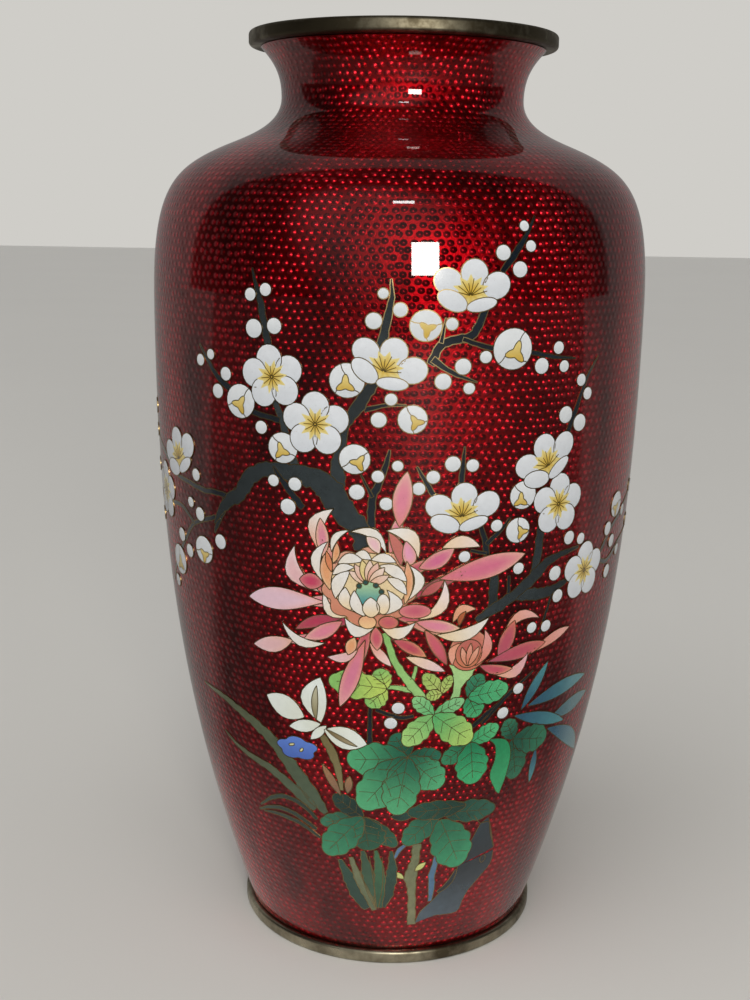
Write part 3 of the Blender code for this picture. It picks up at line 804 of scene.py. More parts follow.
FRONT_CHRYSANTHEMUM = (
    ("petal", (-14, 121.8), (-26, 117.8), 1.8, 1.3, PINK),
    ("petal", (-7, 129.5), (-15, 124.6), 1.9, 2.0, CRIMSON),
    ("petal", (-8, 133.4), (-21, 131.4), 1.8, 2.0, PINK),
    ("petal", (-8, 136), (-18.5, 137.2), 2.4, 2.2, ROSE),
    ("petal", (-9.5, 141.5), (-16, 150.5), 2.0, 2.0, SALMON),
    ("petal", (-0.8, 148), (1.5, 161), 1.7, 1.7, PINK),
    ("petal", (0.5, 140.5), (9, 146.8), 1.9, 1.7, ROSE),
    ("petal", (0.5, 134), (9.5, 139.4), 1.7, 1.9, CRIMSON),
    ("petal", (-1, 130.4), (8, 126.4), 1.8, 1.6, ROSE),
    ("petal", (3, 127.2), (14, 123.2), 1.5, 1.9, SALMON),
    ("petal", (-4.8, 127), (-8.6, 109), 1.9, 1.8, ROSE),
    ("petal", (-2.2, 126), (6, 116.6), 1.6, 1.6, CRIMSON),
    ("petal", (-23, 118.6), (-33.8, 114.8), 3.3, 2.0, BLUSH),
    ("petal", (-15, 119.2), (-25.4, 124.2), 4.9, -1.8, MILK),
    ("petal", (-11.2, 127.4), (-22.1, 122.4), 0.8, 2.9, CRIMSON),
    ("petal", (-11, 126.6), (-20, 119.8), 2.8, 1.7, PINK),
    ("petal", (-14.5, 132.2), (-34, 130.3), 3.2, 4.0, ("#E1A596", "#E1C3D2", "#DDBCCB"), 1.35),
    ("petal", (-8, 129), (-14.8, 137), 6.2, -3.2, CREAM),
    ("petal", (-8.2, 129.6), (-14.6, 135.4), 2.8, 0.9, SALMON),
    ("petal", (-15.8, 135.2), (-21.4, 149), 7.4, -2.2, ("#D9A49A", "#E6D2D6", "#DDB0B4"), 1.2),
    ("petal", (-15.2, 138), (-20.6, 138.6), 2.5, 2.6, ("#C8847C", "#C97A78", "#BE3C5F"), 1, 0.7),
    ("coin", (-5.2, 137.6), 14.2, 12.6, ("#C98268", "#D9A088", None), 0, 11, 0.14),
    ("petal", (-15.2, 146), (-12.6, 161), 6.6, -1.6, ("#DDA084", "#E2DDD8", None), 1.3),
    ("petal", (-15.0, 146), (-15.6, 158), 1.8, 2.2, ("#E0B896", "#DDB09A", "#D28298")),
    ("petal", (-15.2, 138.8), (-13.9, 151), 4.6, -1.5, MILK),
    ("petal", (-13.6, 136.2), (-14.2, 148), 2.6, 1.3, PEACH),
    ("petal", (-13.2, 141.8), (-14.3, 148.2), 1.0, 0.9, ("#D2825A", "#D2825A", None)),
    ("petal", (1.1, 156.5), (2.5, 172.9), 3.1, 2.6, PINK),
    ("petal", (-1.6, 155.2), (5.2, 147), 5.4, -1.3, ("#E3E0DC", "#E4CDB4", None)),
    ("petal", (1.6, 144.8), (-1.1, 154.8), 0.7, 2.6, ("#B46464", "#BE6E64", "#BE6E64")),
    ("petal", (3.7, 145), (2.5, 152.3), 1.9, 2.2, ("#D7A08C", "#D79696", "#DC96B4"), 0.7),
    ("petal", (-9.1, 154.4), (-1.6, 148.4), 4.7, -1.7, MILK),
    ("petal", (-3, 148.3), (-5.7, 153.3), 1.2, 2.3, ("#E8D0BE", "#E6D2C0", "#E1B4BE")),
    ("petal", (-13.1, 148), (-9.3, 154.9), 2.9, -0.8, MILK),
    ("petal", (-12.9, 144.6), (-12, 151), 0.6, 1.5, PEACH),
    ("petal", (10.2, 150), (18.5, 150), 3.7, 0.1, ("#E4C8AA", "#E6D2C8", None)),
    ("petal", (5.4, 144), (12.8, 149.9), 1.7, 3.1, ("#D28C82", "#DCA096", "#C8648C")),
    ("petal", (5.6, 137.2), (15.5, 142.6), 1.4, 1.8, ("#8C4650", "#A85A5C", None)),
    ("petal", (9.8, 140.6), (29.5, 146.6), 3.2, 3.8, ("#D27878", "#E1AA9B", "#CF6C8A"), 1.15),
    ("petal", (6, 135.5), (10.9, 140.2), 1.3, 1.6, ("#AA5050", "#BE6464", None)),
    ("petal", (5.6, 128.1), (10.9, 140.3), -2.0, 5.6, ("#E4C8A0", "#E6D7DA", None)),
    ("petal", (3.2, 134), (3.2, 144.9), -1.9, 4.9, MILK, 1.15),
    ("petal", (2.6, 132.8), (2.8, 146.2), 0.6, 2.2, PEACH),
    ("coin", (4.9, 130.6), 4.7, 2.2, ("#D28278", "#D27D82", "#BE5A6E")),
    ("petal", (12.6, 113), (7.2, 124.6), 1.6, 2.2, ("#A05046", "#C87864", "#C85A6E")),
    ("petal", (5.2, 127.3), (15.1, 124.8), 1.7, 2.4, ("#D2827D", "#E1BE9B", "#D6809A")),
    ("petal", (9.8, 123.1), (21.75, 127.6), -0.8, 4.8, CREAM),
    ("petal", (-5.9, 121.2), (-12, 98.5), 2.7, 2.5, ("#D27864", "#E1A5A0", "#D07894"), 1.2),
    ("petal", (-7.6, 117.8), (-14.6, 114.8), 3.0, 0.1, BLUSH),
    ("petal", (-8.2, 121.8), (-9.8, 116), 1.6, 1.8, PEACH),
    ("petal", (3.2, 116), (12.3, 111), 1.8, 1.5, ("#E4C8AA", "#E1C3C8", None)),
    ("petal", (0.4, 121.4), (7.8, 116), 2.2, 1.6, ("#BE5A5F", "#DC9B6E", "#B4465A")),
    ("petal", (-4.9, 120.3), (0, 112.9), 1.4, 1.6, ("#E19B8C", "#E6C8C3", None)),
    ("petal", (-3.6, 125.5), (-3.2, 118), 1.9, 1.9, ROSE),
    ("petal", (-2.8, 126.4), (5.05, 127.3), -1.4, 5.2, CREAM),
    ("coin", (-0.8, 127), 2.9, 2.0, ("#C8785F", "#C86E64", "#BE5A64")),
    ("petal", (-3.9, 125.3), (-10.4, 128.1), 5.0, -1.3, MILK),
    ("coin", (-5.4, 126.9), 2.6, 2.1, ("#E6BE8C", "#E1AA82", None)),
    ("coin", (-5.2, 138.8), 11.0, 9.6, ("#E1CDA5", "#DCC396", None)),
    ("petal", (-8.4, 147.4), (-4.6, 146.4), 2.4, 0.4, MILK),
    ("petal", (-11.8, 144.6), (-6.2, 145.7), 3.0, 0.2, MILK),
    ("petal", (-13, 141), (-8.2, 143.8), 2.4, 0.3, MILK),
    ("petal", (-12.4, 133.8), (-9.2, 142.6), 3.4, 0.6, MILK),
    ("petal", (-4.7, 146.3), (0.6, 145.8), 2.5, 0.4, MILK),
    ("petal", (-2.9, 144.7), (2.9, 140), 2.7, 0.9, MILK),
    ("petal", (-1.4, 141), (2.95, 135.9), 2.3, 0.7, MILK),
    ("petal", (-9, 130.4), (-10.2, 137.5), 3.0, 0.9, CREAM),
    ("petal", (-5.2, 138.8), (-9.4, 142.6), 1.3, 1.3, ("#DDB89A", "#E2C8BA", None)),
    ("petal", (-5.2, 138.8), (-8.2, 144.8), 1.4, 1.3, ("#DDA88E", "#E0BEB0", None)),
    ("petal", (-5.2, 138.8), (-6.6, 146.2), 1.5, 1.4, ("#D8C27E", "#DFCB92", None)),
    ("petal", (-5.2, 138.8), (-4.9, 146.3), 1.4, 1.5, ("#DDB496", "#E2CABC", None)),
    ("petal", (-5.2, 138.8), (-3.2, 145.6), 1.4, 1.4, ("#D99C86", "#DFB7A8", None)),
    ("petal", (-5.2, 138.8), (-1.8, 144.2), 1.3, 1.4, ("#DDB89A", "#E2CCC0", None)),
    ("petal", (-5.2, 138.8), (-0.8, 141.8), 1.1, 1.3, ("#DDAE92", "#E0C4B4", None)),
    ("coin", (-5.1, 135.8), 3.9, 3.8, ("#3F8C93", "#9FC39A", None)),
    ("petal", (-5.9, 128.8), (-8.2, 136.7), 3.0, 0.5, MILK),
    ("petal", (-1.9, 129.5), (-1.3, 137.3), -1.3, 5.2, MILK),
    ("coin", (-2, 132.8), 1.9, 3.2, CREAM),
    ("petal", (-4.6, 128.5), (-4.7, 134.8), 2.5, 2.6, CREAM, 0.85, 0.7),
    ("coin", (-7.2, 138.2), 0.75, 0.75, ("#2D4B46", "#2D4B46", None)),
    ("coin", (-5.8, 139.4), 0.75, 0.75, ("#2D4B46", "#2D4B46", None)),
    ("coin", (-3.6, 138.6), 0.75, 0.75, ("#2D4B46", "#2D4B46", None)),
    ("coin", (-2.4, 136.7), 0.75, 0.75, ("#2D4B46", "#2D4B46", None)),
)

REAR_CHRYSANTHEMUM = (
    ("petal", (26, 121), (35.7, 124.6), 5.8, -2.3, ("#DC967D", "#E1AAA5", None)),
    ("petal", (25.4, 113), (28.6, 125.4), 2.6, 2.6, ("#AA5A69", "#CD785F", "#B45064")),
    ("petal", (33.7, 113.2), (46.4, 119.1), 2.3, 1.3, ("#D2826E", "#E6AAA0", None), 1.3),
    ("petal", (22.4, 112.8), (38.5, 116.2), 2.6, 2.4, ("#A05064", "#CD7869", "#B95064"), 1.25),
    ("petal", (24.2, 108.6), (33.4, 114), -1.6, 5.7, ("#E1AA8C", "#E1AAB4", None), 1.15),
    ("petal", (20.6, 111.9), (29.5, 109.5), 0.8, 2.6, ("#B45A64", "#E19B78", "#BE5064")),
    ("petal", (13.4, 126.6), (18.7, 130.4), 3.9, -0.6, APRICOT),
    ("petal", (14.9, 125.4), (16.3, 130), 1.5, 0.3, RUST),
    ("coin", (17.7, 117.2), 6.2, 6.6, ("#C8745C", "#D08A74", "#B85A52")),
    ("petal", (14, 112.6), (17, 119.9), 3.8, -0.6, ("#E1A08C", "#DC9678", None)),
    ("petal", (19.4, 112), (21, 123.7), -0.9, 4.2, ("#D7826E", "#DC9B96", None)),
    ("coin", (17.7, 116.2), 4.2, 4.6, ("#C87D5A", "#BE6E64", "#B25A50")),
    ("petal", (17.4, 112.2), (15.9, 118.5), 1.1, 0.9, ("#D2876A", "#DDA08A", None)),
    ("petal", (17.6, 112.2), (18.0, 119.6), 1.0, 1.0, ("#CD7A62", "#DD9884", None)),
    ("petal", (17.8, 112.2), (20.0, 118.3), 0.9, 1.1, ("#D2876A", "#DDA08A", None)),
)

PALE_GREEN = ("#8CBE6E", "#98C47C", None)
MOSS = ("#B4CC62", "#86BC68", None)
GRASS = ("#2E8A5C", "#48A66E", None)
FERN = ("#1C5C46", "#4FA674", None)
DEEP = ("#1A4638", "#2F7054", None)
NIGHT = ("#143A2E", "#245844", None)

CHRYSANTHEMUM_STEMS = (
    ("bough", ((-3, 106, 1.2), (1.5, 105.6, 1.6), (5.5, 104.5, 1.8)), PALE_GREEN),
    ("bough", ((5.6, 112.8, 1.0), (5.3, 110, 1.2), (4.6, 107, 1.4)), PALE_GREEN),
    ("bough", ((-1.5, 123.5, 2.0), (0.5, 115, 2.2), (3, 109.5, 2.6), (6.2, 104, 3), (9.5, 98, 2.2)),
               PALE_GREEN),
    ("bough", ((13.6, 96, 2.0), (15.2, 101.5, 2.8), (15.6, 105, 2.6), (16.4, 109, 6), (16.8, 112.2, 9)),
     ("#8EC080", "#A9CF8B", None)),
    ("lobe", (-1, 105.3), (-5.5, 99.1), 3, 3, MOSS),
    ("lobe", (-1, 105.3), (-3, 111.8), 3, 2.6, MOSS),
    ("lobe", (-1, 105.3), (-14.6, 107), 4.3, 4.0, MOSS),
    ("lobe", (12, 103.5), (7.4, 110.2), 2.2, 2.2, ("#B2C26C", "#9CBC64", None)),
    ("lobe", (12, 103.5), (13.9, 109.4), 1.6, 1.5, ("#B2C26C", "#9CBC64", None)),
    ("lobe", (12, 103.5), (8.2, 102.6), 1.7, 1.7, ("#B2C26C", "#9CBC64", None)),
    ("lobe", (18.5, 101.5), (21.5, 94.5), 3.2, 3.0, GRASS),
    ("lobe", (18.5, 101.5), (21.5, 109), 2.8, 2.6, ("#2A7054", "#36805E", None)),
    ("lobe", (18.5, 101.5), (29, 103), 3.6, 3.4, ("#3A9A68", "#56B47A", None)),
)

LEAVES = {
    "leaf_low_left": (
        ("lobe", (-7, 59), (-19.5, 55), 2.8, 2.8, DEEP),
        ("lobe", (-7, 59), (2.5, 48.3), 2.6, 2.8, NIGHT),
        ("lobe", (-7, 59), (-15, 66.3), 2.8, 3.0, ("#122C26", "#1C3A32", None)),
        ("lobe", (-7, 59), (-5.4, 46.4), 5.4, 5.2, ("#123A2E", "#22563F", None)),
        ("lobe", (-7, 59), (-19, 43), 4.6, 4.6, ("#1E6048", "#348A62", None)),
    ),
    "leaf_low_right": (
        ("petal", (0.7, 59.6), (7, 60.4), 1.7, 1.7, ("#16302A", "#24483E", None)),
        ("lobe", (14, 61), (31.2, 59), 3.8, 3.6, ("#154034", "#245A48", None)),
        ("lobe", (14, 61), (4.6, 49), 3.6, 3.8, ("#1B4E3C", "#2C7254", None)),
        ("lobe", (21.5, 62.5), (5.2, 61.4), 3.2, 3.0, ("#12362B", "#1D4B3D", None)),
        ("lobe", (14.5, 58), (22.5, 38.6), 6.0, 6.0, ("#1E6448", "#349266", None)),
        ("thread", ((24.6, 57.9), (27.1, 54.3), (30, 54.3), (31.4, 49.3), (33.9, 43.6))),
    ),
    "leaf_far_right": (
        ("lobe", (33, 84), (29.8, 91.6), 2.8, 2.8, ("#1E4C3C", "#34765A", None)),
        ("lobe", (33, 84), (36.2, 68.8), 4.4, 4.4, ("#1C4C3A", "#2C6C50", None)),
        ("lobe", (33, 84), (45.4, 80.6), 4.6, 4.4, ("#1E5040", "#34785A", None)),
    ),
    "leaf_right": (
        ("lobe", (20.5, 85.5), (13.3, 79), 2.8, 2.8, ("#22664A", "#32805A", None)),
        ("band", ((24.6, 86), (27.4, 83.5), (28.2, 78), (27.4, 72), (30.4, 65.4)),
         ((24.6, 86), (30.6, 84.5), (33, 79), (32.8, 71), (31.6, 64.4)), ("#248456", "#38A068", None)),
        ("lobe", (20.5, 85.5), (27.8, 90.2), 2.8, 2.8, ("#3A9C66", "#56B67A", None)),
        ("lobe", (20.5, 85.5), (22.6, 70.2), 4.9, 4.9, ("#227C54", "#3EAA70", None)),
    ),
    "leaf_left": (
        ("lobe", (4.5, 81.5), (1, 90), 3.4, 3.4, ("#174A38", "#266650", None)),
        ("lobe", (4.5, 81.5), (13, 82), 2.8, 2.8, ("#174A38", "#266650", None)),
        ("lobe", (4.5, 81.5), (13.8, 70.5), 4.8, 4.8, FERN),
        ("lobe", (4.5, 81.5), (-10.8, 80), 5.5, 5.2, FERN),
        ("lobe", (4.5, 81.5), (-7.5, 62.5), 5.8, 5.8, FERN),
        ("lobe", (4.5, 81.5), (2, 60.5), 5.2, 5.2, FERN),
    ),
    "leaf_light": (
        ("lobe", (10.3, 96.3), (17.6, 101), 2.1, 2.1, ("#62AE70", "#84C288", None)),
        ("lobe", (10.3, 96.3), (5.2, 102.4), 2.2, 2.2, ("#62AE70", "#86C484", None)),
        ("lobe", (10.3, 96.3), (3.4, 86), 3.4, 3.4, ("#74B46A", "#A0CC78", None)),
        ("lobe", (10.3, 96.3), (20.4, 86), 4.3, 4.3, ("#56AA66", "#AACC6C", None)),
    ),
}

SLATE = ("#4A5A66", "#1E2930", None)
OLIVE = ("#6E7454", "#7C7C5C", None)

TRUNK_FOOT = (
    ("band", ((22.1, 38.6), (24.4, 45.5), (26, 50.5), (27.2, 54)),
     ((33.9, 42.9), (32.1, 48.6), (30.7, 52.9), (29.6, 56)), ("#1E2930", "#26343C", None)),
    ("band", ((10, 16), (11.4, 20.7), (15, 25), (17.1, 27.9), (20, 31.4), (21.8, 34.3), (22.1, 38.6)),
     ((16.4, 18.6), (25, 18.6), (26.4, 22.9), (27.9, 27.1), (31.4, 32.1), (34.3, 36.4), (34.2, 41.8)), SLATE),
    ("bough", ((16.6, 28.6, 0.8), (18.4, 30, 1.6), (20.5, 32.6, 1.8), (21.8, 37, 0.8)),
               ("#141C20", "#1E282E", None)),
    ("coin", (30.7, 39.3), 1.0, 1.5, ("#141C20", "#1E282E", None)),
    ("bough", ((15, 50, 1.2), (14.6, 42, 1.8), (13.9, 36, 2.2), (14.4, 30, 2), (14.3, 25, 1.2)),
     ("#567A96", "#4A6E8C", None)),
    ("bough", ((5.8, 49.5, 0.6), (3.4, 47, 1.6), (1.8, 43, 0.6)), ("#4A6A8C", "#5C7CA0", None)),
    ("bough", ((8.4, 49, 2.6), (8.1, 42, 2.6), (7.2, 36.4, 4.0), (7.8, 31, 2.8), (8.2, 26, 2.6),
               (8.8, 15.6, 3.0)), OLIVE),
    ("petal", (5.2, 35.2), (1.6, 38), 1.0, 1.1, ("#C6CB7E", "#CDD282", None)),
    ("petal", (8.4, 38.2), (11.6, 41.6), 1.1, 1.0, ("#C6CB7E", "#CDD282", None)),
)

POD_GREEN = ("#32503C", "#3A5A42", None)

ORCHID_STEMS = (
    ("bough", ((-14.5, 41.5, 1.2), (-11.8, 34, 4.2), (-9.2, 27, 4.6), (-6.4, 22.4, 3.0)),
               ("#24483A", "#1C3A30", None)),
    ("bough", ((-7.4, 46, 1.2), (-5.8, 36, 4.0), (-4.4, 28, 4.0), (-3.4, 23, 2.6)), POD_GREEN),
    ("bough", ((1, 46.4, 0.8), (1.4, 38, 3.2), (0.0, 29, 4.0), (-1.8, 23.5, 2.6)),
               ("#24483A", "#1C3A30", None)),
    ("bough", ((-3.5, 46.5, 1.0), (-2.4, 38, 3.2), (-2.4, 30, 3.4), (-2.8, 23, 2.4)),
               ("#3A6A48", "#2A5038", None)),
    ("bough", ((-11.0, 43, 1.4), (-8.8, 34, 2.6), (-6.4, 28, 2.6), (-4.2, 21.8, 1.6)),
               ("#6E7355", "#606A4C", None)),
    ("thread", ((-5.4, 44), (-4.2, 33), (-3.4, 22.5))),
    ("thread", ((-1.6, 44), (-1.4, 33), (-2.8, 22.5))),
    ("thread", ((-8.4, 38), (-6.2, 29), (-3.6, 22.5))),
)

BLADE = ("#4B5A46", "#5F644B", None)
SHADE_BLADE = ("#24332A", "#34453A", None)

ORCHID_LEAF = (
    ("bough", ((-20.5, 56, 1.2), (-24, 60, 1.6), (-29, 62, 1.6), (-34, 60.5, 1.4), (-40, 55.5, 0.5)),
               SHADE_BLADE),
    ("bough", ((-21, 52, 1.2), (-26, 55.5, 1.6), (-31, 57, 1.5), (-36, 56, 1.2), (-41, 53.4, 0.5)),
               SHADE_BLADE),
    ("bough", ((-20, 49, 1.0), (-26, 53, 1.5), (-33, 54.3, 1.3), (-39, 53.6, 0.5)), SHADE_BLADE),
    ("bough", ((-20.5, 60, 2.5), (-25, 64.5, 4), (-29, 68, 3.6), (-34, 71.5, 3), (-40, 73.5, 2.2),
               (-46, 76, 1.4),
               (-50, 79, 0.5)), BLADE),
    ("bough", ((-17.5, 59, 2), (-20.5, 64, 5), (-24, 70, 5.5), (-27.5, 76, 5), (-31, 81.5, 4.5),
               (-36, 86, 3.8),
               (-41, 89, 3), (-48, 92, 2), (-57, 93.5, 0.5)), BLADE),
)

SNOW = ("#D9DED2", "#E1E8E4", None)
IRIS = ("#4B69B9", "#5F82D2", None)
BUD_BROWN = ("#82644F", "#9A7252", None)

ORCHID_FLOWER = (
    ("bough", ((-17, 87.5, 2), (-14.8, 82.5, 3), (-13.3, 76.5, 2.4), (-12.5, 68.5, 1.2)),
               ("#736946", "#7C7350", None)),
    ("petal", (-12.8, 66.5), (-17.5, 77.4), 1.4, 1.3, BUD_BROWN),
    ("petal", (-11, 67.6), (-10.2, 74.1), 1.3, 1.3, BUD_BROWN),
    ("coin", (-24.2, 81.4), 7.4, 4.2, IRIS, 4, 5, 0.22),
    ("coin", (-25.6, 82.4), 1.1, 0.45, ("#D8D29A", "#E0DAA6", None), 20),
    ("coin", (-22.9, 81.1), 0.9, 0.45, ("#D8D29A", "#E0DAA6", None), 50),
    ("petal", (-17.1, 91.5), (-25.8, 88.8), 2.4, 2.0, SNOW),
    ("petal", (-15.6, 91.2), (-20.1, 85.5), 1.5, 1.5, SNOW),
    ("petal", (-21.3, 93), (-31.5, 98.2), 4.2, 4.0, SNOW),
    ("petal", (-17, 92), (-16.6, 107.4), 6.6, 2.0, SNOW),
    ("petal", (-18.2, 92.6), (-17.6, 104.5), 1.6, 0.5, ("#8A8260", "#B8B49A", None)),
    ("petal", (-16.3, 89.6), (-5.6, 85.9), 3.6, 4.2, SNOW),
    ("petal", (-15.8, 90), (-8, 84.9), 0.5, 1.1, ("#7A6A48", "#A09476", None)),
)

TEAL = ("#2C566E", "#4C8A92", None)

BAMBOO_LEAVES = (
    ("petal", (46, 88), (64, 90.5), 3.0, 3.0, ("#3C6470", "#4C7A80", None)),
    ("petal", (42, 78), (42.5, 65), 1.6, 1.4, TEAL),
    ("petal", (45, 84), (69, 66.5), 4.6, 1.2, TEAL),
    ("petal", (32, 92.4), (52.3, 84.5), 2.6, 2.0, TEAL),
    ("petal", (34, 94), (40.6, 109), 2.0, 2.0, TEAL),
    ("petal", (36, 94.8), (59.5, 98.2), 4.0, 1.6, TEAL),
)

# How each enamel lies: its name, roughness and mottling.
ENAMELS = {
    "rose": ("shaded rose enamel, polished", 0.15, 0.06),
    "leaf": ("shaded green enamel, polished", 0.16, 0.12),
    "dark leaf": ("deep green enamel, polished", 0.17, 0.2),
    "stem": ("olive enamel, polished", 0.17, 0.2),
    "slate": ("slate enamel, polished", 0.16, 0.22),
    "white": ("opaque white enamel, polished", 0.14, 0.05),
    "teal": ("teal enamel, polished", 0.16, 0.12),
}

# The groups: enamel, material slot, first layer, the CAD nodes they stand for, and their cells.
GROUPS = {
    "trunk_foot": ("slate", "branch_enamel", 0, ("trunk_foot",), TRUNK_FOOT),
    "leaf_low_left": ("dark leaf", "dark_leaf_enamel", 0, ("leaf_low_left",), LEAVES["leaf_low_left"]),
    "leaf_low_right": ("dark leaf", "dark_leaf_enamel", 10, ("leaf_low_right",), LEAVES["leaf_low_right"]),
    "leaf_far_right": ("dark leaf", "dark_leaf_enamel", 0, ("leaf_far_right",), LEAVES["leaf_far_right"]),
    "leaf_right": ("leaf", "leaf_enamel", 6, ("leaf_right",), LEAVES["leaf_right"]),
    "leaf_left": ("leaf", "leaf_enamel", 12, ("leaf_left",), LEAVES["leaf_left"]),
    "chrysanthemum_stem": ("leaf", "leaf_enamel", 18, ("chrysanthemum_stem",), CHRYSANTHEMUM_STEMS),
    "leaf_light": ("leaf", "leaf_enamel", 32, ("leaf_light",), LEAVES["leaf_light"]),
    "orchid_stems": ("stem", "stem_enamel", 8, ("orchid_stems",), ORCHID_STEMS),
    "orchid_leaf": ("stem", "stem_enamel", 8, ("orchid_leaf",), ORCHID_LEAF),
    "orchid_flower": ("white", "white_enamel", 20, ("orchid_flower",), ORCHID_FLOWER),
    "bamboo_leaves": ("teal", "bamboo_enamel", 0, ("bamboo_leaves",), BAMBOO_LEAVES),
    "chrysanthemum_rear": ("rose", "rose_enamel", 30, ("chrysanthemum_rear",), REAR_CHRYSANTHEMUM),
    "chrysanthemum_front": ("rose", "rose_enamel", 44, ("chrysanthemum_front",), FRONT_CHRYSANTHEMUM),
}


# Building ---------------------------------------------------------------------------------------------

def current(context):
    """The wall, the sizes and the colours as they are set now."""
    scene = context.scene
    return Wall(scene.vase_shape), scene.vase_shape, scene.vase_colours


def coat(wall, shape):
    """The ruby coat: outer rows in step with the rows of dots, and the same line inside, 0.8 mm deeper."""
    total = wall.reach[-1]
    dot_rows = round(total / shape.row_pitch)
    outer = wall.rows(np.linspace(total, 0, 2 * dot_rows + 1), None, 0)
    inner = wall.rows(0, total, COAT_THICKNESS)
    grid = turned(np.vstack([outer, inner]), shape.segments)
    bodies = Bodies()
    bodies.add(grid, closed=True)
    return bodies, outer, dot_rows


def dot_map(mesh, shape, outer, dot_rows):
    """The UV map of the dots: U counts dots round a row, V counts rows; a row's count suits its radius."""
    loops = np.empty(len(mesh.loops), int)
    mesh.loops.foreach_get("vertex_index", loops)
    quads = loops.reshape(-1, 4)
    face = np.arange(len(quads))
    row, column = face // shape.segments, face % shape.segments
    pair = np.minimum(row, len(outer) - 2) // 2
    radius = outer[np.minimum(2 * pair + 1, len(outer) - 1), 0]
    dots = np.round(2 * math.pi * radius / shape.dot_pitch)
    u = np.stack([column, column, column + 1, column + 1], -1) / shape.segments * dots[:, None]
    v = np.stack([row, row + 1, row + 1, row], -1) / 2
    values = np.stack([u, np.minimum(v, dot_rows)], -1)
    layer = mesh.uv_layers.new(name="dots")
    layer.data.foreach_set("uv", values.ravel())


def stamens(inlay, centre, reach, start, end, count):
    """Fine brown lines that fan out from a flower's centre, in turn longer and shorter."""
    scale = inlay.wall.degree(centre[1])
    for i in range(count):
        angle = math.radians(start + (end - start) * i / (count - 1))
        far = reach * (0.85 + 0.15 * math.cos(2.3 * i))
        x, y = math.cos(angle), math.sin(angle)
        line = [(centre[0] + part * x / scale, centre[1] + part * y, 0.26) for part in (0.2, far / 2, far)]
        inlay.strip(*bough_edges(inlay.wall, line), STAMEN, wired=False)
    inlay.next_layer()


def open_blossom(inlay, turn, level, width, height, first):
    """Five round petals about a yellow heart."""
    scale = inlay.wall.degree(level)
    for angle in (first + 72 * i for i in range(5)):
        x, y = math.cos(math.radians(angle)), math.sin(math.radians(angle))
        place = (turn + 0.30 * width * x / scale, level + 0.31 * height * y)
        inlay.coin(place, 0.21 * width, 0.21 * width, WHITE_PETAL, turned=angle)
    inlay.coin((turn, level), 5.2, 4.9, FLOWER_HEART, lobes=10, depth=-0.4, turned=first, wired=False)
    stamens(inlay, (turn, level), 3.8, first + 12, first + 342, 12)


def tilted_blossom(inlay, turn, level, lean):
    """Three petals behind and two foreshortened ones in front, with the stamens fanned upwards."""
    scale = inlay.wall.degree(level)
    c, s = math.cos(math.radians(lean)), math.sin(math.radians(lean))
    for i, (x, y, across, up, turned_by) in enumerate(TILTED_PETALS):
        if i == 3:
            fan = (turn - 1.2 * s / scale, level + 1.2 * c)
            inlay.coin(fan, 5.4, 4.8, FLOWER_HEART, lobes=10, depth=-0.35, turned=lean, wired=False)
            stamens(inlay, (turn, level), 5.0, lean + 15, lean + 165, 8)
        place = (turn + (x * c - y * s) / scale, level + x * s + y * c)
        inlay.coin(place, across, up, WHITE_PETAL, turned=turned_by + lean)


def half_open_bud(inlay, turn, level, radius, heart_turn, heart_level):
    """A ball of petals with a yellow three-pointed gap and the wires between the petals."""
    scale = inlay.wall.degree(level)
    inlay.coin((turn, level), radius, 0.96 * radius, BUD_WHITE)
    size = 0.62 * radius
    first = 17 * (round(turn * 7) % 7)  # each bud is turned its own way
    inlay.coin((heart_turn, heart_level), size, size, BUD_HEART, lobes=3, depth=-0.62, turned=first)
    for angle in (first + 90, first + 210, first + 330):
        x = (heart_turn - turn) * scale + 0.9 * size * math.cos(math.radians(angle))
        y = heart_level - level + 0.9 * size * math.sin(math.radians(angle))
        way = math.atan2(y, x) + 0.12
        end = np.array((math.cos(way), 0.96 * math.sin(way))) * 0.99 * radius
        start = np.array((x, y))
        bend = (start + end) / 2 + 0.08 * np.array((start[1] - end[1], end[0] - start[0]))
        inlay.thread([(turn + point[0] / scale, level + point[1]) for point in (start, bend, end)])


class VASE_OT_ruby_coat(bpy.types.Operator):
    """The ruby enamel coat outside"""
    bl_idname = "vase.ruby_coat"
    bl_label = "Ruby coat"

    def execute(self, context):
        wall, shape, colours = current(context)
        bodies, outer, dot_rows = coat(wall, shape)
        made = bodies.piece("ruby_coat", ruby_enamel(colours), "ruby_enamel", ("ruby_ground",), sharp=60)
        dot_map(made.data, shape, outer, dot_rows)
        return {"FINISHED"}


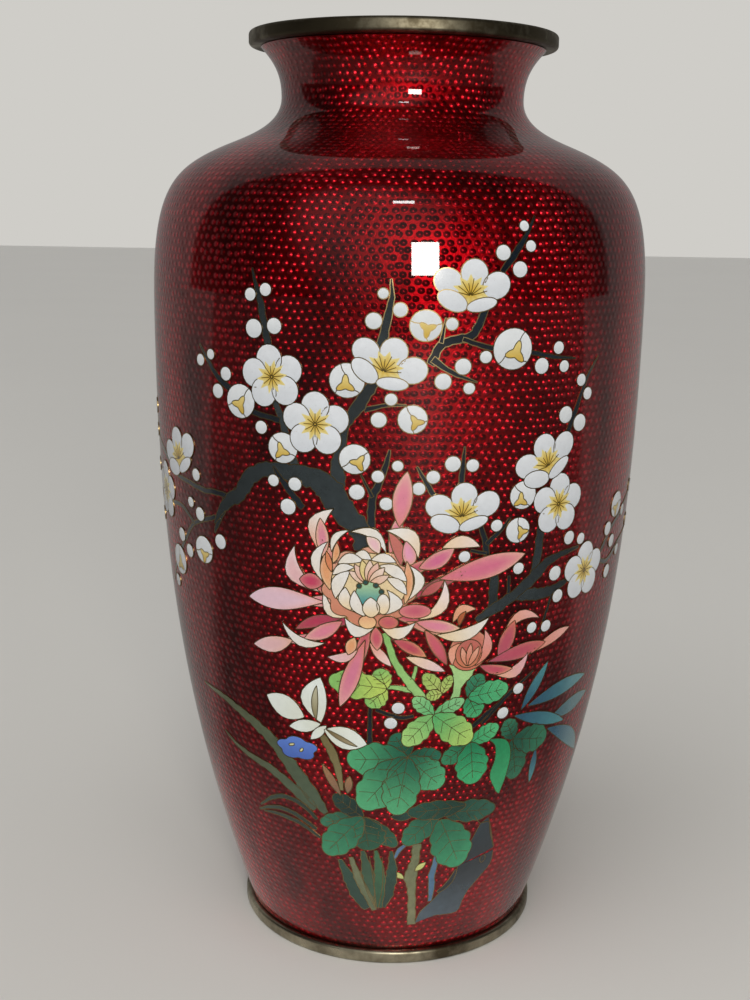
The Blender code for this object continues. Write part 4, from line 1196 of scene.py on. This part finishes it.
class VASE_OT_rings(bpy.types.Operator):
    """The plated rings at the mouth and the foot"""
    bl_idname = "vase.rings"
    bl_label = "Plated rings"

    def execute(self, context):
        wall, _, _ = current(context)
        edge = RING_EDGE
        low, high = box_mm("mouth_ring")
        out, under, top = high[0], low[2], high[2]
        lip = wall.rows([wall.reach[-1]], None, COPPER_OUT)[0][0]
        groove_out, groove_in, groove_top = lip + GROOVE_OUT, lip - GROOVE_IN, top - MOUTH_GROOVE_TOP
        bore, seat, chamfer = groove_in - MOUTH_LEG, top - RING_HEIGHT, 0.3
        self.ring(context, "mouth_ring", [
            quarter((out - edge, top - edge), edge, 90), quarter((out - edge, seat + edge), edge, 0),
            [(groove_out, seat), (groove_out, groove_top), (groove_in, groove_top), (groove_in, under)],
            [(bore + chamfer, under), (bore, under + chamfer)],
            quarter((bore + edge, top - edge), edge, 180)])

        out, _, leg_top = box_mm("foot_ring")[1]
        spigot = wall.rows([0.0], None, COPPER_OUT)[0][0]
        groove_out, groove_in, floor = spigot + GROOVE_OUT, spigot - GROOVE_IN, FOOT_GROOVE_FLOOR
        bore, low_chamfer, high_chamfer = groove_in - FOOT_LEG, 0.5, 0.4
        self.ring(context, "foot_ring", [
            quarter((out - edge, RING_HEIGHT - edge), edge, 90), quarter((out - edge, edge), edge, 0),
            [(bore + low_chamfer, 0.0), (bore, low_chamfer)],
            [(bore, leg_top - high_chamfer), (bore + high_chamfer, leg_top)],
            [(groove_in, leg_top), (groove_in, floor), (groove_out, floor), (groove_out, RING_HEIGHT)]])
        return {"FINISHED"}

    def ring(self, context, node_name, section):
        """Turns one ring from the parts of its section."""
        bodies = Bodies()
        bodies.add(turned(np.vstack(section), context.scene.vase_shape.segments), closed=True)
        finish_of = plated_ring(context.scene.vase_colours)
        bodies.piece(node_name + "_turned", finish_of, "plated_metal", (node_name,), sharp=30)


class VASE_OT_vessel(bpy.types.Operator):
    """The copper vessel, its base and the counter-enamel"""
    bl_idname = "vase.vessel"
    bl_label = "Vessel and lining"

    def execute(self, context):
        wall, shape, colours = current(context)
        total = wall.reach[-1]
        floor = box_mm("lining_enamel")[0][2]
        ceiling = floor + LINING_THICKNESS
        low_reach, high_reach, steps = 12, total - 2, 150
        outer = wall.rows(np.linspace(high_reach, low_reach, steps), None, LINING_OUT)
        inner = wall.rows(np.linspace(low_reach, high_reach, steps), None, LINING_IN)
        corner = quarter((LINING_FLOOR, floor + LINING_CORNER), LINING_CORNER, 0)
        middle = (LINING_FLOOR - LINING_THICKNESS, ceiling + LINING_CORNER)
        inside = quarter(middle, LINING_CORNER, 0)[::-1]
        hole, plug, plug_segments = 1.0, 1.2, 48
        section = np.vstack([outer, corner, [(hole, floor)], [(hole, ceiling)], inside, inner])
        bodies = Bodies()
        bodies.add(turned(section, shape.segments), closed=True)
        bodies.add(turned([(plug, ceiling), (plug, floor)], plug_segments))
        bodies.piece("lining_fired", counter_enamel(colours), "counter_enamel", ("lining_enamel",), sharp=35)
        for name, finish_of in (("base_enamel", counter_enamel), ("copper_body", raised_copper),
                                ("base_plate", raised_copper)):
            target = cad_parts[name]
            target.data.materials.clear()
            target.data.materials.append(finish_of(colours))
        return {"FINISHED"}


class VASE_OT_boughs(bpy.types.Operator):
    """The plum tree's boughs and twigs"""
    bl_idname = "vase.boughs"
    bl_label = "Boughs"

    def execute(self, context):
        wall, shape, _ = current(context)
        bark = cell_enamel(*ENAMELS["slate"])
        for name, paths in BOUGHS.items():
            inlay = Inlay(wall, shape.wire_width)
            for path in paths:
                inlay.bough(path, BARK if max(width for _, _, width in path) > 2.4 else TWIG)
            inlay.pieces(name, bark, "branch_enamel", (name,))
        inlay = Inlay(wall, shape.wire_width)
        for path in BUD_STALKS:
            inlay.bough(path, TWIG)
        inlay.pieces("bud_stalks", bark, "branch_enamel")
        return {"FINISHED"}


class VASE_OT_blossoms(bpy.types.Operator):
    """The open plum blossoms and the buds"""
    bl_idname = "vase.blossoms"
    bl_label = "Blossoms and buds"

    def execute(self, context):
        wall, shape, _ = current(context)
        white = cell_enamel(*ENAMELS["white"])
        for places, draw in ((OPEN_BLOSSOMS, open_blossom), (TILTED_BLOSSOMS, tilted_blossom)):
            for name, numbers in places.items():
                inlay = Inlay(wall, shape.wire_width, BLOSSOM_LAYER)
                draw(inlay, *numbers)
                inlay.pieces("blossom_" + name, white, "white_enamel", ("plum_blossom_" + name,))
        inlay = Inlay(wall, shape.wire_width, BLOSSOM_LAYER)
        for numbers in ROUND_BUDS:
            inlay.coin(numbers[:2], numbers[2], 0.97 * numbers[2], BUD_WHITE)
            inlay.lift = FIRST_LIFT + BLOSSOM_LAYER * LAYER
        for numbers in HALF_OPEN:
            half_open_bud(inlay, *numbers)
            inlay.lift = FIRST_LIFT + BLOSSOM_LAYER * LAYER
        inlay.pieces("plum_buds", white, "white_enamel")
        return {"FINISHED"}


class VASE_OT_flowers_and_leaves(bpy.types.Operator):
    """The chrysanthemums, the orchid, the leaves and the stems"""
    bl_idname = "vase.flowers_and_leaves"
    bl_label = "Flowers and leaves"

    def execute(self, context):
        wall, shape, _ = current(context)
        for name, (enamel, slot, layer, replaced, cells) in GROUPS.items():
            inlay = Inlay(wall, shape.wire_width, layer)
            for kind, *numbers in cells:
                getattr(inlay, kind)(*numbers)
            inlay.pieces(name, cell_enamel(*ENAMELS[enamel]), slot, replaced)
        return {"FINISHED"}


def lamp(name, place, target, size, power, tint="#FFFFFF"):
    """A soft rectangular lamp at a place, turned towards a target."""
    light = bpy.data.lights.new(name, "AREA")
    light.shape = "RECTANGLE"
    light.size, light.size_y = size
    light.energy = power
    light.color = tuple(srgb(tint))
    made = bpy.data.objects.new(name, light)
    bpy.context.scene.collection.objects.link(made)
    made.location = place
    made.rotation_euler = (Vector(target) - made.location).to_track_quat("-Z", "Y").to_euler()


def sun(name, way, strength):
    """A wide, even light from the way given, which leaves no highlight."""
    light = bpy.data.lights.new(name, "SUN")
    light.energy = strength
    light.angle = math.radians(60)
    holder = bpy.data.objects.new(name, light)
    holder.rotation_euler = Vector(way).to_track_quat("Z", "Y").to_euler()
    holder.visible_glossy = False
    bpy.context.scene.collection.objects.link(holder)


class VASE_OT_stage(bpy.types.Operator):
    """The plain floor, the soft lights and the camera"""
    bl_idname = "vase.stage"
    bl_label = "Stage"

    def execute(self, context):
        colours = context.scene.vase_colours
        half = FLOOR_HALF
        mesh = bpy.data.meshes.new("floor")
        mesh.from_pydata([(-half, -half, 0), (half, -half, 0), (half, half, 0), (-half, half, 0)], [],
                         [(0, 1, 2, 3)])
        made, tree, shader = material("plain painted floor")
        coords = object_place(tree)
        base = np.array(colours.floor)
        pale = mix(tree, noise(tree, coords, 3.0, 2.0), linear(base * 0.96), linear(base))
        away = node(tree, "VectorMath", {0: coords}, operation="LENGTH").outputs[1]
        far = span(tree, away, 0.03, 0.16, 0.0, 0.93)
        ahead = span(tree, node(tree, "SeparateXYZ", {0: coords}).outputs[1], 0.05, 0.0, 0.0, 1.0)
        far = calc(tree, "MULTIPLY", far, span(tree, ahead, 0.0, 1.0, 0.55, 1.0))
        # Away from the foot the floor is darker to reflections, which keeps its haze off the glass.
        unlit = calc(tree, "MULTIPLY", far, node(tree, "LightPath").outputs["Is Glossy Ray"])
        tree.links.new(mix(tree, unlit, pale, linear(base * 0.08)), shader.inputs["Base Color"])
        finish(shader, roughness=0.7)
        mesh.materials.append(made)
        floor = bpy.data.objects.new("floor", mesh)
        context.scene.collection.objects.link(floor)

        world = bpy.data.worlds.new("soft studio")
        context.scene.world = world
        world.use_nodes = True
        tree = world.node_tree
        background = tree.nodes["Background"]
        seen = node(tree, "LightPath").outputs["Is Camera Ray"]
        ahead = node(tree, "TexCoord").outputs["Generated"]
        way = node(tree, "SeparateXYZ", {0: ahead})
        behind = calc(tree, "MULTIPLY_ADD", way.outputs[2], 0.19, way.outputs[1])
        glow = span(tree, behind, 0.28, 0.36, 0.01, 0.24, "SMOOTHSTEP")
        plain = linear(srgb("#CFCDC8"))
        pale_wall = {0: ahead, 1: (-0.22, -0.84, 0.50)}
        toward = node(tree, "VectorMath", pale_wall, operation="DOT_PRODUCT").outputs[1]
        glow = calc(tree, "ADD", glow, span(tree, toward, 0.76, 0.98, 0.0, 0.34, "SMOOTHSTEP"))
        # The eye sees a plain backdrop, while reflections see a soft glow behind and at the pale wall.
        room = mix(tree, glow, (0, 0, 0, 1), (1.0, 0.98, 0.95, 1))
        tree.links.new(mix(tree, seen, room, plain), background.inputs[0])

        lamp("window", (0.39, -1.97, 0.58), (0.0, -0.05, 0.23), (0.42, 0.41), 17.0, "#FFFBF2")
        lamp("ceiling", (0.05, -1.6, 1.75), (0.0, 0.0, 0.25), (0.32, 0.10), 2.0)
        sun("front fill", (-0.30, -0.50, 0.95), 1.5)
        sun("side fill", (0.50, -0.35, 0.8), 0.5)

        camera = bpy.data.cameras.new("camera")
        camera.lens = CAMERA_LENS
        camera.sensor_width = SENSOR
        camera.clip_start = 0.01
        holder = bpy.data.objects.new("camera", camera)
        context.scene.collection.objects.link(holder)
        turn = Matrix.Rotation(math.radians(CAMERA_TURN), 4, "Z")
        tilt = Matrix.Rotation(math.radians(90 - CAMERA_DIP), 4, "X")
        roll = Matrix.Rotation(math.radians(CAMERA_ROLL), 4, "Z")
        holder.matrix_world = Matrix.Translation(CAMERA_PLACE) @ turn @ tilt @ roll
        context.scene.camera = holder
        context.scene.view_settings.view_transform = "Standard"
        return {"FINISHED"}


OPERATORS = (
    VASE_OT_stage, VASE_OT_vessel, VASE_OT_rings, VASE_OT_ruby_coat, VASE_OT_boughs, VASE_OT_blossoms,
    VASE_OT_flowers_and_leaves,
)


class VASE_PT_panel(bpy.types.Panel):
    """Lists the vase's steps and its sizes and colours"""
    bl_idname = "VASE_PT_panel"
    bl_label = "Cloisonne vase"
    bl_space_type = "VIEW_3D"
    bl_region_type = "UI"
    bl_category = "Vase"

    def draw(self, context):
        for operator in OPERATORS:
            self.layout.operator(operator.bl_idname)
        for group in (context.scene.vase_shape, context.scene.vase_colours):
            for name in group.__annotations__:
                self.layout.prop(group, name)


CLASSES = (VaseShape, VaseColours, *OPERATORS, VASE_PT_panel)


def register():
    for item in CLASSES:
        bpy.utils.register_class(item)
    bpy.types.Scene.vase_shape = PointerProperty(type=VaseShape)
    bpy.types.Scene.vase_colours = PointerProperty(type=VaseColours)


def unregister():
    del bpy.types.Scene.vase_colours
    del bpy.types.Scene.vase_shape
    for item in reversed(CLASSES):
        bpy.utils.unregister_class(item)


def main():
    register()
    for operator in OPERATORS:
        module, name = operator.bl_idname.split(".")
        getattr(getattr(bpy.ops, module), name)()


if __name__ == "__main__":
    main()
